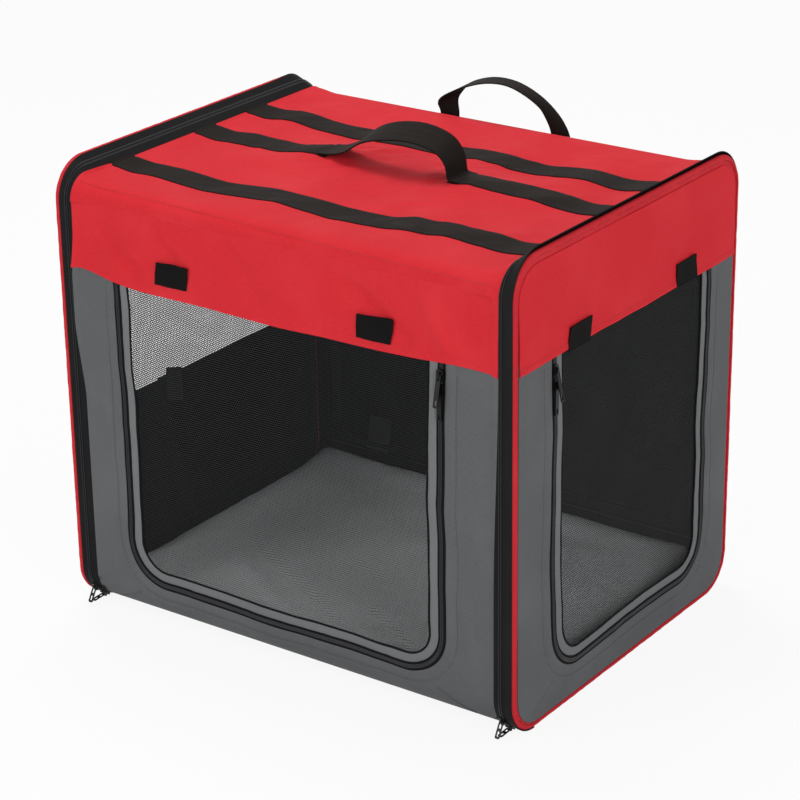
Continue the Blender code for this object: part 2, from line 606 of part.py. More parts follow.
def make_end(looks, frame, side, name):
    """What both ends share: piping, rod, grey border, red band and zip band. Side is +1 or -1."""
    origin = Vector(frame["place"])
    line = rounded_rectangle(-HALF_DEPTH, HALF_DEPTH, 0.0, HEIGHT, END_CORNER_RADIUS)
    start = PIPING_SLOT_ANGLE
    flange_top = -PIPING_FLANGE_RECESS
    flange_low = flange_top - PIPING_FLANGE_THICKNESS
    rise = (PIPING_RADIUS + flange_top) / PIPING_RADIUS
    leave_outer = atan2(rise, (1 - rise ** 2) ** 0.5)
    drop = (PIPING_RADIUS + flange_low) / PIPING_BORE_RADIUS
    leave_inner = atan2(drop, (1 - drop ** 2) ** 0.5)
    middle = (PIPING_RADIUS, -PIPING_RADIUS)
    profile = arc(*middle, PIPING_RADIUS, leave_outer, 2 * pi + start, PIPING_STEPS)
    profile += arc(*middle, PIPING_BORE_RADIUS, 2 * pi + start, leave_inner, PIPING_STEPS)
    profile += [(PIPING_FLANGE_REACH, flange_low), (PIPING_FLANGE_REACH, flange_top)]
    rings = []
    for y, z in line:
        core_y = max(-HALF_DEPTH + END_CORNER_RADIUS, min(HALF_DEPTH - END_CORNER_RADIUS, y))
        core_z = max(END_CORNER_RADIUS, min(HEIGHT - END_CORNER_RADIUS, z))
        inward = Vector((core_y - y, core_z - z)).normalized()
        ring = []
        for reach, lift in profile:
            point = (side * (HALF_LENGTH + lift), y + inward.x * reach, z + inward.y * reach)
            ring.append(Vector(point) - origin)
        rings.append(ring)
    mesh = loft(name + "_piping", rings, closed=True)
    piece(name + "_piping", mesh, looks["red"], frame, origin, smooth=True)

    inset = PIPING_RADIUS
    corners = (-HALF_DEPTH + inset, HALF_DEPTH - inset, inset, HEIGHT - inset)

    def to_point(u, v, lift):
        return Vector((side * (HALF_LENGTH - PIPING_RADIUS) + lift, u, v)) - origin

    mesh = rod_loop(name + "_rod", corners, END_CORNER_RADIUS - inset, PIPING_ROD_RADIUS, to_point)
    piece(name + "_rod", mesh, looks["steel"], frame, origin, smooth=True)

    low_x, high_x = sorted((side * (SHEET_OUTER_X - SHEET), side * SHEET_OUTER_X))
    margin = PIPING_FLANGE_REACH + SEAT
    radius = END_CORNER_RADIUS - margin
    half = HALF_DEPTH - margin
    edge = -TAPE_WIDTH - 2 * SEAT if side > 0 else -SEAT
    outer = door_line(-half, half, margin, VALANCE_HEIGHT - SEAT, radius)
    left, right, bottom, top, bend = side_line()
    opening = door_line(left, right, bottom, VALANCE_HEIGHT - SEAT, bend, inset=edge)
    mesh = prism(name + "_panel", outer + opening[::-1], low_x, high_x, "yz", origin)
    piece(name + "_panel", mesh, looks["grey"], frame, origin)

    high = HEIGHT - margin
    band = [(-half, VALANCE_HEIGHT), (half, VALANCE_HEIGHT)]
    band += arc(half - radius, high - radius, radius, 0.0, pi / 2, SMALL_CORNER_STEPS)
    band += arc(-half + radius, high - radius, radius, pi / 2, pi, SMALL_CORNER_STEPS)
    mesh = prism(name + "_valance", band, low_x, high_x, "yz", origin)
    piece(name + "_valance", mesh, looks["red"], frame, origin)

    shapes = []
    for depth in (0.0, BAND_THICKNESS):
        shapes.append((BAND_OUTER_X, end_outline(
            HALF_DEPTH - BAND_RECESS - depth, BAND_RECESS + depth, HEIGHT - BAND_RECESS - depth,
            END_CORNER_RADIUS - BAND_RECESS - depth, END_CORNER_RADIUS - BAND_RECESS - depth)))
        shapes.append((BAND_INNER_X, end_outline(
            SLEEVE_Y - depth, depth, ROOF_HEIGHT - depth,
            SLEEVE_BOTTOM_RADIUS - depth, ROOF_EDGE_RADIUS - depth)))
    order = (shapes[0], shapes[1], shapes[3], shapes[2])
    rings = []
    for step in range(len(order[0][1])):
        rings.append([Vector((side * x, *outline[step])) - origin for x, outline in order])
    mesh = loft(name + "_zip_band", rings, closed=False)
    piece(name + "_zip_band", mesh, looks["tape"], frame, origin, smooth=True)


def make_right_end(looks, frame):
    make_end(looks, frame, 1, "right_end")
    origin = frame["place"]
    tape = door_strip(side_line(), -TAPE_WIDTH - SEAT, -SEAT / 2)
    mesh = prism("side_zip_fixed", tape, SHEET_OUTER_X - SHEET, SHEET_OUTER_X, "yz", origin)
    piece("side_zip_fixed", mesh, looks["tape"], frame, origin)
    for place, where in zip(SIDE_TAB_PLACES, ("front", "back")):
        at = (SHEET_OUTER_X, place, VALANCE_HEIGHT + TAB_RISE)
        add_tab(f"side_tab_{where}", looks, frame, at, (TAB_WIDTH, TAB_HEIGHT), 1, "yz")


def make_left_end(looks, frame):
    """The end without a door: fixed netting, and a pocket outside its lower half."""
    make_end(looks, frame, -1, "left_end")
    origin = frame["place"]
    sheet = door_line(*side_line())
    outer = -SHEET_OUTER_X + SEAT
    mesh = prism("left_end_netting", sheet, outer, outer + NETTING, "yz", origin)
    piece("left_end_netting", mesh, looks["netting"], frame, origin)

    back = -SHEET_OUTER_X - SEAT
    front = back - POCKET_DEPTH
    width = POCKET_HALF_WIDTH
    mesh = prism(
        "left_end_pocket", rectangle(-width, width, POCKET_BOTTOM, POCKET_TOP), front, back, "yz", origin)
    pocket = piece("left_end_pocket", mesh, looks["grey"], frame, origin)
    inner = width - POCKET_RIM
    hollow = rectangle(-inner, inner, POCKET_BOTTOM + POCKET_RIM, POCKET_TOP + POCKET_RIM)
    cut(pocket, cutter("pocket_hollow", prism("pocket_hollow", hollow, front + SHEET, back + SHEET, "yz")))
    at = (front, POCKET_TAB_PLACE, POCKET_TOP - POCKET_TAB_DROP)
    add_tab("left_end_pocket_tab", looks, frame, at, POCKET_TAB_SIZE, -1, "yz")


def add_end_sliders(looks, frame, side, name, slider, pull):
    """Two sliders parked under the front corner of the zip band, with their pulls hanging forward."""
    middle_x = side * (BAND_INNER_X + BAND_WIDTH / 2)
    radius = SLEEVE_BOTTOM_RADIUS
    for number, (angle, swing) in enumerate(zip(END_SLIDER_ANGLES, END_PULL_SWINGS), start=1):
        normal = Vector((0, -sin(angle), -cos(angle)))
        along = Vector((0, -cos(angle), sin(angle)))
        centre = Vector((middle_x, -FLOOR_FLAT_Y, SLEEVE_BOTTOM_RADIUS))
        place = centre + normal * (radius + BAND_THICKNESS / 2)
        tilt = pi / 2 - angle
        piece(f"{name}_slider_{number}", slider, looks["zinc"], frame, tuple(place), (tilt, 0, 0))
        hang = place + normal * bail_axis_depth() + along * bail_axis_rise()
        joint = joint_frame(f"{name}_pull_{number}_swing", tuple(hang), frame)
        piece(f"{name}_pull_{number}", pull, looks["zinc"], joint, tuple(hang), (swing, 0, 0))


def make_back_wall(looks, frame):
    origin = frame["place"]
    low = WALL_INNER_Y
    panel = rectangle(-SLEEVE_X, SLEEVE_X, LOWER_FOLD_HEIGHT + BACK_FOLD_SLIT, VALANCE_HEIGHT - SEAT)
    mesh = prism("back_panel", panel, low, SLEEVE_Y, "xz", origin)
    piece("back_panel", mesh, looks["grey"], frame, origin)
    band = rectangle(-SLEEVE_X, SLEEVE_X, VALANCE_HEIGHT, UPPER_FOLD_HEIGHT - SEAT / 2)
    mesh = prism("back_valance", band, low, SLEEVE_Y, "xz", origin)
    piece("back_valance", mesh, looks["red"], frame, origin)
    wall_loop("back_rod_loop", looks["steel"], frame, 1, BACK_LOOP_BOTTOM)

    at = (SLEEVE_X - BACK_TAB_MARGIN, SLEEVE_Y, UPPER_FOLD_HEIGHT - BACK_TAB_DROP - TAB_HEIGHT)
    add_tab("back_tab", looks, frame, at, (TAB_WIDTH, TAB_HEIGHT), 1)
    place = -SLEEVE_X + INNER_TAB_MARGIN
    bottom = LOWER_FOLD_HEIGHT + INNER_TAB_RISE
    half = INNER_TAB_SIZE[0] / 2
    shape = rectangle(place - half, place + half, bottom, bottom + INNER_TAB_SIZE[1])
    mesh = prism("back_inner_tab", shape, low - SEAT - SHEET, low - SEAT, "xz", origin)
    piece("back_inner_tab", mesh, looks["loop"], frame, origin)


def make_back_handle(looks, frame):
    """A flat webbing loop sewn to the top of the back, standing above the roof."""
    origin = frame["place"]
    half = BACK_HANDLE_SPAN / 2
    inner_half = half - BACK_HANDLE_WIDTH
    rise = BACK_HANDLE_TOP_RISE - BACK_HANDLE_SHOULDER_RISE
    shoulder = ROOF_HEIGHT + BACK_HANDLE_SHOULDER_RISE
    foot = BACK_HANDLE_FOOT
    outline = [(half, foot)]
    for step in range(ARCH_STEPS + 1):
        turn = pi * step / ARCH_STEPS
        outline.append((half * cos(turn), shoulder + rise * sin(turn)))
    outline += [(-half, foot), (-inner_half, foot)]
    for step in range(ARCH_STEPS + 1):
        turn = pi - pi * step / ARCH_STEPS
        inner_rise = rise - BACK_HANDLE_WIDTH
        outline.append((inner_half * cos(turn), shoulder + inner_rise * sin(turn)))
    outline.append((inner_half, foot))
    outline = [(u + BACK_HANDLE_PLACE, v) for u, v in outline]
    low = BACK_HANDLE_PIVOT_Y - HANDLE_THICKNESS / 2
    mesh = prism("back_handle", outline, low, low + HANDLE_THICKNESS, "xz", origin)
    piece("back_handle", mesh, looks["webbing"], frame, origin)


def make_roof(looks, frame):
    origin = frame["place"]
    centre = SLEEVE_Y - ROOF_EDGE_RADIUS
    half_split = SEAT / 2 / (ROOF_EDGE_RADIUS - SKIN)
    lines = []
    for radius in (ROOF_EDGE_RADIUS, ROOF_EDGE_RADIUS - SKIN):
        line = arc(-centre, UPPER_FOLD_HEIGHT, radius, pi - half_split, pi / 2, CORNER_STEPS)
        line += arc(centre, UPPER_FOLD_HEIGHT, radius, pi / 2, half_split, CORNER_STEPS)
        lines.append(line)
    mesh = prism("roof_panel", lines[0] + lines[1][::-1], -SLEEVE_X, SLEEVE_X, "yz", origin)
    piece("roof_panel", mesh, looks["red"], frame, origin, smooth=True)
    front_y, middle_y, back_y = STRAP_PLACES
    strips = (
        ("front", -SLEEVE_X, SLEEVE_X, front_y),
        ("middle_left", -SLEEVE_X, HANDLE_PLACE - HANDLE_REACH, middle_y),
        ("middle_right", HANDLE_PLACE + HANDLE_REACH, SLEEVE_X, middle_y),
        ("back", -SLEEVE_X, SLEEVE_X, back_y),
    )
    for where, low_x, high_x, place in strips:
        half = STRAP_WIDTH / 2
        strip = rectangle(low_x, high_x, place - half, place + half)
        name = f"roof_strap_{where}"
        mesh = prism(name, strip, ROOF_HEIGHT + SEAT, STRAP_TOP, "xy", origin)
        piece(name, mesh, looks["webbing"], frame, origin)


def make_handle(looks, frame):
    """The loose middle of the centre strap: a webbing arch with a rounded tongue at each foot."""
    half_width = STRAP_WIDTH / 2
    rows = []
    tongue = [pi / 2 * (TONGUE_STEPS - step) / (TONGUE_STEPS + 1) for step in range(TONGUE_STEPS)]
    for turn in tongue:
        rows.append((HANDLE_SPAN / 2, -half_width * sin(turn), half_width * cos(turn)))
    for step in range(ARCH_STEPS + 1):
        turn = pi * step / ARCH_STEPS
        rows.append((HANDLE_SPAN / 2 * cos(turn), HANDLE_RISE * sin(turn), half_width))
    for turn in reversed(tongue):
        rows.append((-HANDLE_SPAN / 2, -half_width * sin(turn), half_width * cos(turn)))
    build = bmesh.new()
    strip = [[build.verts.new((x, y, z)) for y in (-reach, reach)] for x, z, reach in rows]
    for here, there in zip(strip, strip[1:]):
        build.faces.new((here[0], here[1], there[1], there[0]))
    mesh = mesh_from("roof_handle", build)
    handle = piece("roof_handle", mesh, looks["webbing"], frame, frame["place"], smooth=True)
    thicken = handle.modifiers.new("webbing_thickness", "SOLIDIFY")
    thicken.thickness = HANDLE_THICKNESS
    thicken.offset = 0.0
    thicken.use_even_offset = True


def main():
    clear_scene()
    looks = make_materials()
    slider = slider_mesh()
    door_pull = pull_mesh("door_pull", DOOR_PULL_LENGTH)
    end_pull = pull_mesh("end_pull", END_PULL_LENGTH)

    make_base(looks)

    front_wall = joint_frame("front_fold", (0, -SLEEVE_Y, LOWER_FOLD_HEIGHT))
    make_front_wall(looks, front_wall)
    for place, where in zip(FRONT_TAB_PLACES, ("left", "right")):
        at = (place, -SLEEVE_Y, VALANCE_HEIGHT + TAB_RISE)
        add_tab(f"front_tab_{where}", looks, front_wall, at, (TAB_WIDTH, TAB_HEIGHT), -1)
    front_door = joint_frame("front_door_hinge", (0, -SLEEVE_Y, DOOR_HINGE_HEIGHT), front_wall)
    make_front_door(looks, front_door, slider, door_pull)

    right_end = joint_frame("right_end_hinge", (HALF_LENGTH, 0, END_HINGE_HEIGHT))
    make_right_end(looks, right_end)
    add_end_sliders(looks, right_end, 1, "right_end_zip", slider, end_pull)
    side_door = joint_frame("side_door_hinge", (SHEET_OUTER_X, 0, DOOR_HINGE_HEIGHT), right_end)
    make_side_door(looks, side_door, slider, door_pull)

    left_end = joint_frame("left_end_hinge", (-HALF_LENGTH, 0, END_HINGE_HEIGHT))
    make_left_end(looks, left_end)
    add_end_sliders(looks, left_end, -1, "left_end_zip", slider, end_pull)

    back_wall = joint_frame("back_fold", (0, WALL_INNER_Y, LOWER_FOLD_HEIGHT))
    make_back_wall(looks, back_wall)
    pivot = (0, BACK_HANDLE_PIVOT_Y, BACK_HANDLE_FOOT)
    back_handle = joint_frame("back_handle_hinge", pivot, back_wall)
    make_back_handle(looks, back_handle)

    roof = joint_frame("roof_fold", (0, WALL_INNER_Y, UPPER_FOLD_HEIGHT), back_wall)
    make_roof(looks, roof)
    handle = joint_frame("roof_handle_hinge", (HANDLE_PLACE, 0, HANDLE_PIVOT_HEIGHT), roof)
    make_handle(looks, handle)


main()
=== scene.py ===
# %% [markdown]
# # A soft-sided pet travel crate, dressed
#
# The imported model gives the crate's shape, its joints and the names of its parts. This lesson makes
# what the eye sees on it: cloth, netting, webbing, zips and stitching, one step at a time.
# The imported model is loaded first, and its box is kept to compare with the dressed crate.

from math import cos, pi, radians, sin

import bmesh
import bpy
from mathutils import Matrix, Vector, noise


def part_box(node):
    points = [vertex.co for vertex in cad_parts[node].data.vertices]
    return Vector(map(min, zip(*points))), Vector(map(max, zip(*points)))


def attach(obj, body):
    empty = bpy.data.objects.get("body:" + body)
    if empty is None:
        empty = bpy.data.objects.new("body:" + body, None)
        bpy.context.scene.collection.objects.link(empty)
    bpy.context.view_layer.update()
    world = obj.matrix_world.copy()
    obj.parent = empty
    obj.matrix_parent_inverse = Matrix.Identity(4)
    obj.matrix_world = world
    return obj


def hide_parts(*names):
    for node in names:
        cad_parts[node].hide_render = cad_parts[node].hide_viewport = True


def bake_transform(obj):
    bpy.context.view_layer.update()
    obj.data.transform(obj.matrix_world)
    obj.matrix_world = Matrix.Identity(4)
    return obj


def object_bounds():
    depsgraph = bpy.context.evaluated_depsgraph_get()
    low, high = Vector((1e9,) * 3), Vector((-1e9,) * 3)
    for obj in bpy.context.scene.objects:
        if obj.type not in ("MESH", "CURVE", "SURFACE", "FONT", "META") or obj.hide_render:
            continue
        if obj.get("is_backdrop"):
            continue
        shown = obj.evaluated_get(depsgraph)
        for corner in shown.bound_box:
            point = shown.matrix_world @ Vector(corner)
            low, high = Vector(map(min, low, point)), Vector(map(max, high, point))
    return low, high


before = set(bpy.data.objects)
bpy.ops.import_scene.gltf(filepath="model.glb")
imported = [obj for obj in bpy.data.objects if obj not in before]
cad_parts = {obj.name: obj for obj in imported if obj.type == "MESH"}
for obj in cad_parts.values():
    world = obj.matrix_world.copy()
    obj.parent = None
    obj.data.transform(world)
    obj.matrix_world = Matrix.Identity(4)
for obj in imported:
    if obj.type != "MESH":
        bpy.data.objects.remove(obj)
packed_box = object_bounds()

# %% [markdown]
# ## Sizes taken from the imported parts
#
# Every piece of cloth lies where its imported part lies, so the planes of the walls and the lines of
# the zips are read from the parts' boxes. Nothing is measured twice, and nothing can drift.

# %% Wall planes and zip lines
MM = 0.001


def low(part):
    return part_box(part)[0]


def high(part):
    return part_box(part)[1]


FRONT_Y = low("front_valance").y
BACK_Y = high("back_valance").y
ROOF_Z = high("roof_panel").z
FOLD_Z = low("roof_panel").z
END_X = high("right_end_panel").x
SLEEVE_X = high("front_valance").x
BAND_X = (low("right_end_zip_band").x, high("right_end_zip_band").x)
HALF_DEPTH = high("right_end_piping").y
PIPING_TOP = high("right_end_piping").z
HEM_Z = low("front_valance").z
FOOT_BEND = 45 * MM
ROOF_BEND = ROOF_Z - FOLD_Z
TAPE = 5 * MM
DOOR_BEND = 50 * MM
DOOR_TOP = high("front_zip_moving").z
EDGE_INNER = low("front_door_netting").x - low("front_zip_fixed").x - TAPE
CANVAS_THICK = 1.0 * MM
print(f"sleeve {2 * SLEEVE_X:.3f} x {BACK_Y - FRONT_Y:.3f} x {ROOF_Z:.3f} m, ends at {END_X:.4f} m")

# %% [markdown]
# ## Colour and the one function that adds a node
#
# A colour is picked as an sRGB hex value, as in a paint program, but Blender mixes light in linear
# values, so one function turns one into the other. A second function adds any node with its
# settings, its sockets' values and its incoming wires, which keeps each material short to read.
# Most finishes end alike: two shades mixed by a pattern, and the same pattern pressed into the
# surface as relief.

# %% Colour and node helpers


def linear(code):
    channels = [int(code[i:i + 2], 16) / 255 for i in (1, 3, 5)]
    toned = [c / 12.92 if c <= 0.04045 else ((c + 0.055) / 1.055) ** 2.4 for c in channels]
    return (*toned, 1.0)


def add(tree, kind, settings=None, values=None, wires=None):
    made = tree.nodes.new("ShaderNode" + kind)
    for name, value in (settings or {}).items():
        setattr(made, name, value)
    for socket, value in (values or {}).items():
        made.inputs[socket].default_value = value
    for socket, source in (wires or {}).items():
        tree.links.new(source, made.inputs[socket])
    return made


def start_material(name, **values):
    made = bpy.data.materials.new(name)
    made.use_nodes = True
    shader = made.node_tree.nodes["Principled BSDF"]
    for socket, value in values.items():
        shader.inputs[socket.replace("_", " ")].default_value = value
    return made, made.node_tree, shader


def shade_and_press(tree, shader, share, shades, height, strength, depth):
    """Mix two shades by a share, and press a height into the surface. Returns the mixed colour."""
    mixed = add(tree, "Mix", {"data_type": "RGBA"},
                {6: linear(shades[0]), 7: linear(shades[1])}, {0: share})
    relief = add(tree, "Bump", {}, {"Strength": strength, "Distance": depth}, {"Height": height})
    tree.links.new(mixed.outputs[2], shader.inputs["Base Color"])
    tree.links.new(relief.outputs[0], shader.inputs["Normal"])
    return mixed.outputs[2]


BAND_REPEAT = 0.314  # Blender's bands repeat every 0.314 / scale of the coordinate's unit
print("red canvas in linear light:", [round(c, 3) for c in linear("#D62F37")])

# %% [markdown]
# ## Woven polyester canvas
#
# The walls are 600-denier polyester canvas, woven plain and coated on the back with polyurethane.
# The eye gets a matt surface with a fine grain, small slubs where a yarn is thicker, and soft
# uneven patches where the cloth has been handled. A plain weave can be drawn as two sets of bands
# multiplied together: where a warp thread is on top, the weft is below, as on a chequerboard.
# Real yarns lie 0.5 mm apart, too fine for this picture, so the grain is drawn at 1.1 mm.

# %% Canvas materials
YARN_PITCH = 1.1 * MM


def canvas(name, colour, shade, light, bump=0.35):
    made, tree, shader = start_material(name, Roughness=0.66, Specular_IOR_Level=0.07)
    cut = add(tree, "UVMap", {"uv_map": "weave"}).outputs["UV"]
    threads = []
    for direction in "XY":
        wave = add(tree, "TexWave", {"bands_direction": direction},
                   {"Scale": BAND_REPEAT / (2 * YARN_PITCH), "Distortion": 0.6,
                    "Detail Scale": 0.4}, {"Vector": cut})
        centred = add(tree, "Math", {"operation": "SUBTRACT"}, {1: 0.5}, {0: wave.outputs["Fac"]})
        threads.append(centred.outputs[0])
    cross = add(tree, "Math", {"operation": "MULTIPLY"}, {}, dict(enumerate(threads)))
    height = add(tree, "Math", {"operation": "MULTIPLY_ADD"}, {1: 2.0, 2: 0.5},
                 {0: cross.outputs[0]})
    stretch = add(tree, "Mapping", {}, {"Scale": (1.0, 5.0, 1.0)}, {"Vector": cut})
    slubs = add(tree, "TexNoise", {}, {"Scale": 160.0, "Detail": 3.0, "Roughness": 0.6},
                {"Vector": stretch.outputs[0]})
    patches = add(tree, "TexNoise", {}, {"Scale": 11.0, "Detail": 4.0, "Roughness": 0.55},
                  {"Vector": cut})
    grain = add(tree, "Math", {"operation": "MULTIPLY_ADD"}, {1: 0.30},
                {0: height.outputs[0], 2: slubs.outputs["Fac"]})
    tone = add(tree, "MapRange", {}, {"From Min": 0.35, "From Max": 0.95},
               {"Value": grain.outputs[0]})
    yarn = shade_and_press(tree, shader, tone.outputs[0], (shade, colour), grain.outputs[0], bump,
                           0.25 * MM)
    worn = add(tree, "MapRange", {}, {"From Min": 0.45, "From Max": 0.8, "To Max": 0.55},
               {"Value": patches.outputs["Fac"]})
    dyed = add(tree, "Mix", {"data_type": "RGBA"}, {7: linear(light)},
               {0: worn.outputs[0], 6: yarn})
    tree.links.new(dyed.outputs[2], shader.inputs["Base Color"])
    return made


red_canvas = canvas("red_polyester_canvas_plain_woven", "#D62F37", "#C6252E", "#DD3C43")
grey_canvas = canvas("grey_polyester_canvas_plain_woven", "#636466", "#57585A", "#6B6D6F")
lining = canvas("black_coated_polyester_lining", "#1C1C1D", "#151516", "#232324", 0.2)
red_bias = canvas("red_bias_cut_canvas_for_piping", "#CF3038", "#B9262F", "#D83B41", 0.3)
print("canvas materials:", red_canvas.name, grey_canvas.name, lining.name, red_bias.name)

# %% [markdown]
# ## Webbing, zip tape and binding
#
# Webbing and zip tape are narrow woven polypropylene and polyester. Their threads run in a
# herringbone: slanting ribs that turn back at each stripe. The slant is a band pattern whose
# coordinate has its crosswise part folded to and fro by a ping-pong. The eye gets a dull black
# ribbon whose ribs catch a little light.

# %% Narrow woven materials


def herringbone(name, colour, shade, rib, stripe, roughness, bump):
    made, tree, shader = start_material(name, Roughness=roughness, Specular_IOR_Level=0.04)
    cut = add(tree, "UVMap", {"uv_map": "weave"}).outputs["UV"]
    sides = add(tree, "SeparateXYZ", wires={"Vector": cut})
    fold = add(tree, "Math", {"operation": "PINGPONG"}, {1: stripe}, {0: sides.outputs["Y"]})
    slant = add(tree, "Math", {"operation": "ADD"}, {},
                {0: sides.outputs["X"], 1: fold.outputs[0]})
    line = add(tree, "CombineXYZ", wires={"X": slant.outputs[0]})
    ribs = add(tree, "TexWave", {"bands_direction": "X"}, {"Scale": BAND_REPEAT / rib},
               {"Vector": line.outputs[0]})
    fuzz = add(tree, "TexNoise", {}, {"Scale": 400.0, "Detail": 3.0}, {"Vector": cut})
    height = add(tree, "Math", {"operation": "MULTIPLY_ADD"}, {1: 0.35},
                 {0: fuzz.outputs["Fac"], 2: ribs.outputs["Fac"]})
    tone = add(tree, "MapRange", {}, {"From Min": 0.1, "From Max": 1.2},
               {"Value": height.outputs[0]})
    shade_and_press(tree, shader, tone.outputs[0], (shade, colour), height.outputs[0], bump,
                    0.3 * MM)
    return made


webbing = herringbone("black_polypropylene_webbing", "#211C19", "#181412",
                      rib=1.6 * MM, stripe=4.7 * MM, roughness=0.6, bump=0.5)
zip_tape = herringbone("black_polyester_zip_tape", "#1B1B1C", "#111112",
                       rib=1.2 * MM, stripe=2.0 * MM, roughness=0.7, bump=0.35)
binding = herringbone("light_grey_grosgrain_binding", "#787A7C", "#696B6D",
                      rib=1.4 * MM, stripe=30 * MM, roughness=0.65, bump=0.35)
print("narrow woven materials:", webbing.name, zip_tape.name, binding.name)

# %% [markdown]
# ## Netting
#
# The windows are knitted polyester netting. From near it is a grid of fine black threads, one
# every 2.6 to 2.9 mm, and most of it is open. A brick pattern gives that grid: its mortar is the
# thread, and the mortar's mask goes to the shader's alpha, so light really passes. The front's
# threads are 0.3 mm wide. A drawn thread has no depth, so the end's door and window, which are
# seen at a slant, get threads of 0.6 and 0.9 mm: round threads close up that way when one looks
# along them. The pattern is pressed flat before it is drawn, which makes the rows of thread
# stronger than the columns, as in the knit.

# %% Netting material


def knitted(name, half_thread, colour):
    """One brick of the pattern is 2.9 x 1.8, in millimetres, and its rows are pressed to 2.6."""
    made, tree, shader = start_material(
        name, Roughness=0.6, Specular_IOR_Level=0.1, Base_Color=linear(colour))
    cut = add(tree, "UVMap", {"uv_map": "weave"}).outputs["UV"]
    pressed = add(tree, "Mapping", {}, {"Scale": (1.0, 0.7, 1.0)}, {"Vector": cut})
    grid = add(tree, "TexBrick", {"offset": 0.5, "offset_frequency": 2},
               {"Scale": 1 / MM, "Mortar Size": half_thread, "Mortar Smooth": 0.1,
                "Brick Width": 2.9, "Row Height": 1.8}, {"Vector": pressed.outputs[0]})
    tree.links.new(grid.outputs["Fac"], shader.inputs["Alpha"])
    return made


# The front netting's threads are black polyester, but are coloured a lighter grey than the other two
# copies: painted sheen on the threads.
netting = knitted("black_polyester_netting", 0.15, "#3B3C3D")
slanted_netting = knitted("black_polyester_netting_seen_at_a_slant", 0.30, "#2A2B2B")
window_netting = knitted("black_polyester_netting_doubled", 0.47, "#242424")
print("netting:", netting.name, slanted_netting.name, window_netting.name)

# %% [markdown]
# ## Nylon coil, thread, hook-and-loop, fleece, steel, paint and board
#
# Each of the small finishes starts from what it is. Coil teeth are extruded nylon, smooth and a
# little glossy. Sewing thread is spun polyester. Hook-and-loop tape is a nap of tiny loops, which
# scatters light. Fleece is a brushed pile, soft and blotchy at the size of the tufts. The rods are
# bright zinc-plated steel wire. The sliders are zinc castings with a hard black paint. The board
# under the mat is pressed fibre.

# %% Small materials


def plain(name, colour, shade, scale, roughness, bump, depth, **values):
    made, tree, shader = start_material(name, Roughness=roughness, **values)
    place = add(tree, "TexCoord").outputs["Object"]
    mottle = add(tree, "TexNoise", {}, {"Scale": scale, "Detail": 4.0, "Roughness": 0.65},
                 {"Vector": place}).outputs["Fac"]
    tone = add(tree, "MapRange", {}, {"From Min": 0.3, "From Max": 0.7}, {"Value": mottle})
    shade_and_press(tree, shader, tone.outputs[0], (shade, colour), mottle, bump, depth)
    return made


THREAD = {"scale": 1500.0, "roughness": 0.6, "bump": 0.3, "depth": 0.1 * MM}
NAP = {"scale": 900.0, "roughness": 0.9, "bump": 0.9, "depth": 0.4 * MM,
       "Specular_IOR_Level": 0.1}
red_thread = plain("red_spun_polyester_thread", "#B92530", "#9C1B26", **THREAD)
grey_thread = plain("grey_spun_polyester_thread", "#4A4B4D", "#3C3D3F", **THREAD)
black_thread = plain("black_spun_polyester_thread", "#161617", "#0E0E0F", **THREAD)
loop_tape = plain("black_nylon_hook_and_loop", "#141312", "#0C0B0B", **NAP)
# This inner tape is black nylon, coloured charcoal grey: painted sheen on its nap.
soft_loop = plain("black_nylon_loop_tape_painted_sheen", "#3A3B3C", "#2C2D2E", **NAP)
# The fleece is coloured near white, far lighter than the mat's own mid-grey: painted light that makes
# up for the dim light inside the crate.
fleece = plain("grey_fleece_painted_lighter_for_dim_light", "#E2E4E6", "#CDCFD1", scale=420.0,
               roughness=0.9, bump=0.8, depth=0.9 * MM, Specular_IOR_Level=0.1)
nylon_coil = plain("black_nylon_zip_coil", "#232428", "#151618", scale=700.0,
                   roughness=0.3, bump=0.1, depth=0.1 * MM, Specular_IOR_Level=0.2)
steel = plain("zinc_plated_steel_wire", "#B9BCBE", "#A3A6A8", scale=300.0,
              roughness=0.32, bump=0.05, depth=0.05 * MM, Metallic=1.0)
black_zinc = plain("black_painted_zinc_casting", "#0D0D0E", "#080808", scale=600.0,
                   roughness=0.38, bump=0.08, depth=0.05 * MM, Specular_IOR_Level=0.2)
fibre_board = plain("brown_pressed_fibre_board", "#6E5B45", "#57462F", scale=500.0,
                    roughness=0.85, bump=0.4, depth=0.3 * MM)
print("small materials:", len(bpy.data.materials))

# %% [markdown]
# ## Lines to sew along
#
# A zip runs down one side of a door, round two bends and up the other side, and piping runs round
# a whole end. Both are straights and quarter-round bends through a few corners, so one helper
# lists those stretches, and another stands at any distance along them and says which way it faces.

# %% Sewing lines


def sewing_line(corners, bends):
    """Stretches of a line: each has its start, its headings, its length and its bend."""
    stretches = []
    at = Vector(corners[0])
    for number in range(1, len(corners)):
        corner = Vector(corners[number])
        heading = (corner - at).normalized()
        bend = bends[number - 1] if number < len(corners) - 1 else 0.0
        end = corner - heading * bend
        if (end - at).length > 1e-6:
            stretches.append((at, heading, heading, (end - at).length, 0.0))
        if bend:
            onward = (Vector(corners[number + 1]) - corner).normalized()
            stretches.append((end, heading, onward, bend * pi / 2, bend))
            end = corner + onward * bend
        at = end
    return stretches


def length_of(line):
    return sum(stretch[3] for stretch in line)


def walk(line, distance):
    for number, stretch in enumerate(line):
        if distance <= stretch[3] or number == len(line) - 1:
            return number, min(1.0, max(0.0, distance / stretch[3]))
        distance -= stretch[3]


def stand(stretch, share):
    start, heading, onward, length, bend = stretch
    if not bend:
        return start + heading * length * share, heading
    turn = share * pi / 2
    centre = start + onward * bend
    point = centre + bend * (heading * sin(turn) - onward * cos(turn))
    return point, heading * cos(turn) + onward * sin(turn)


def follow(line, distance):
    number, share = walk(line, distance)
    return stand(line[number], share)


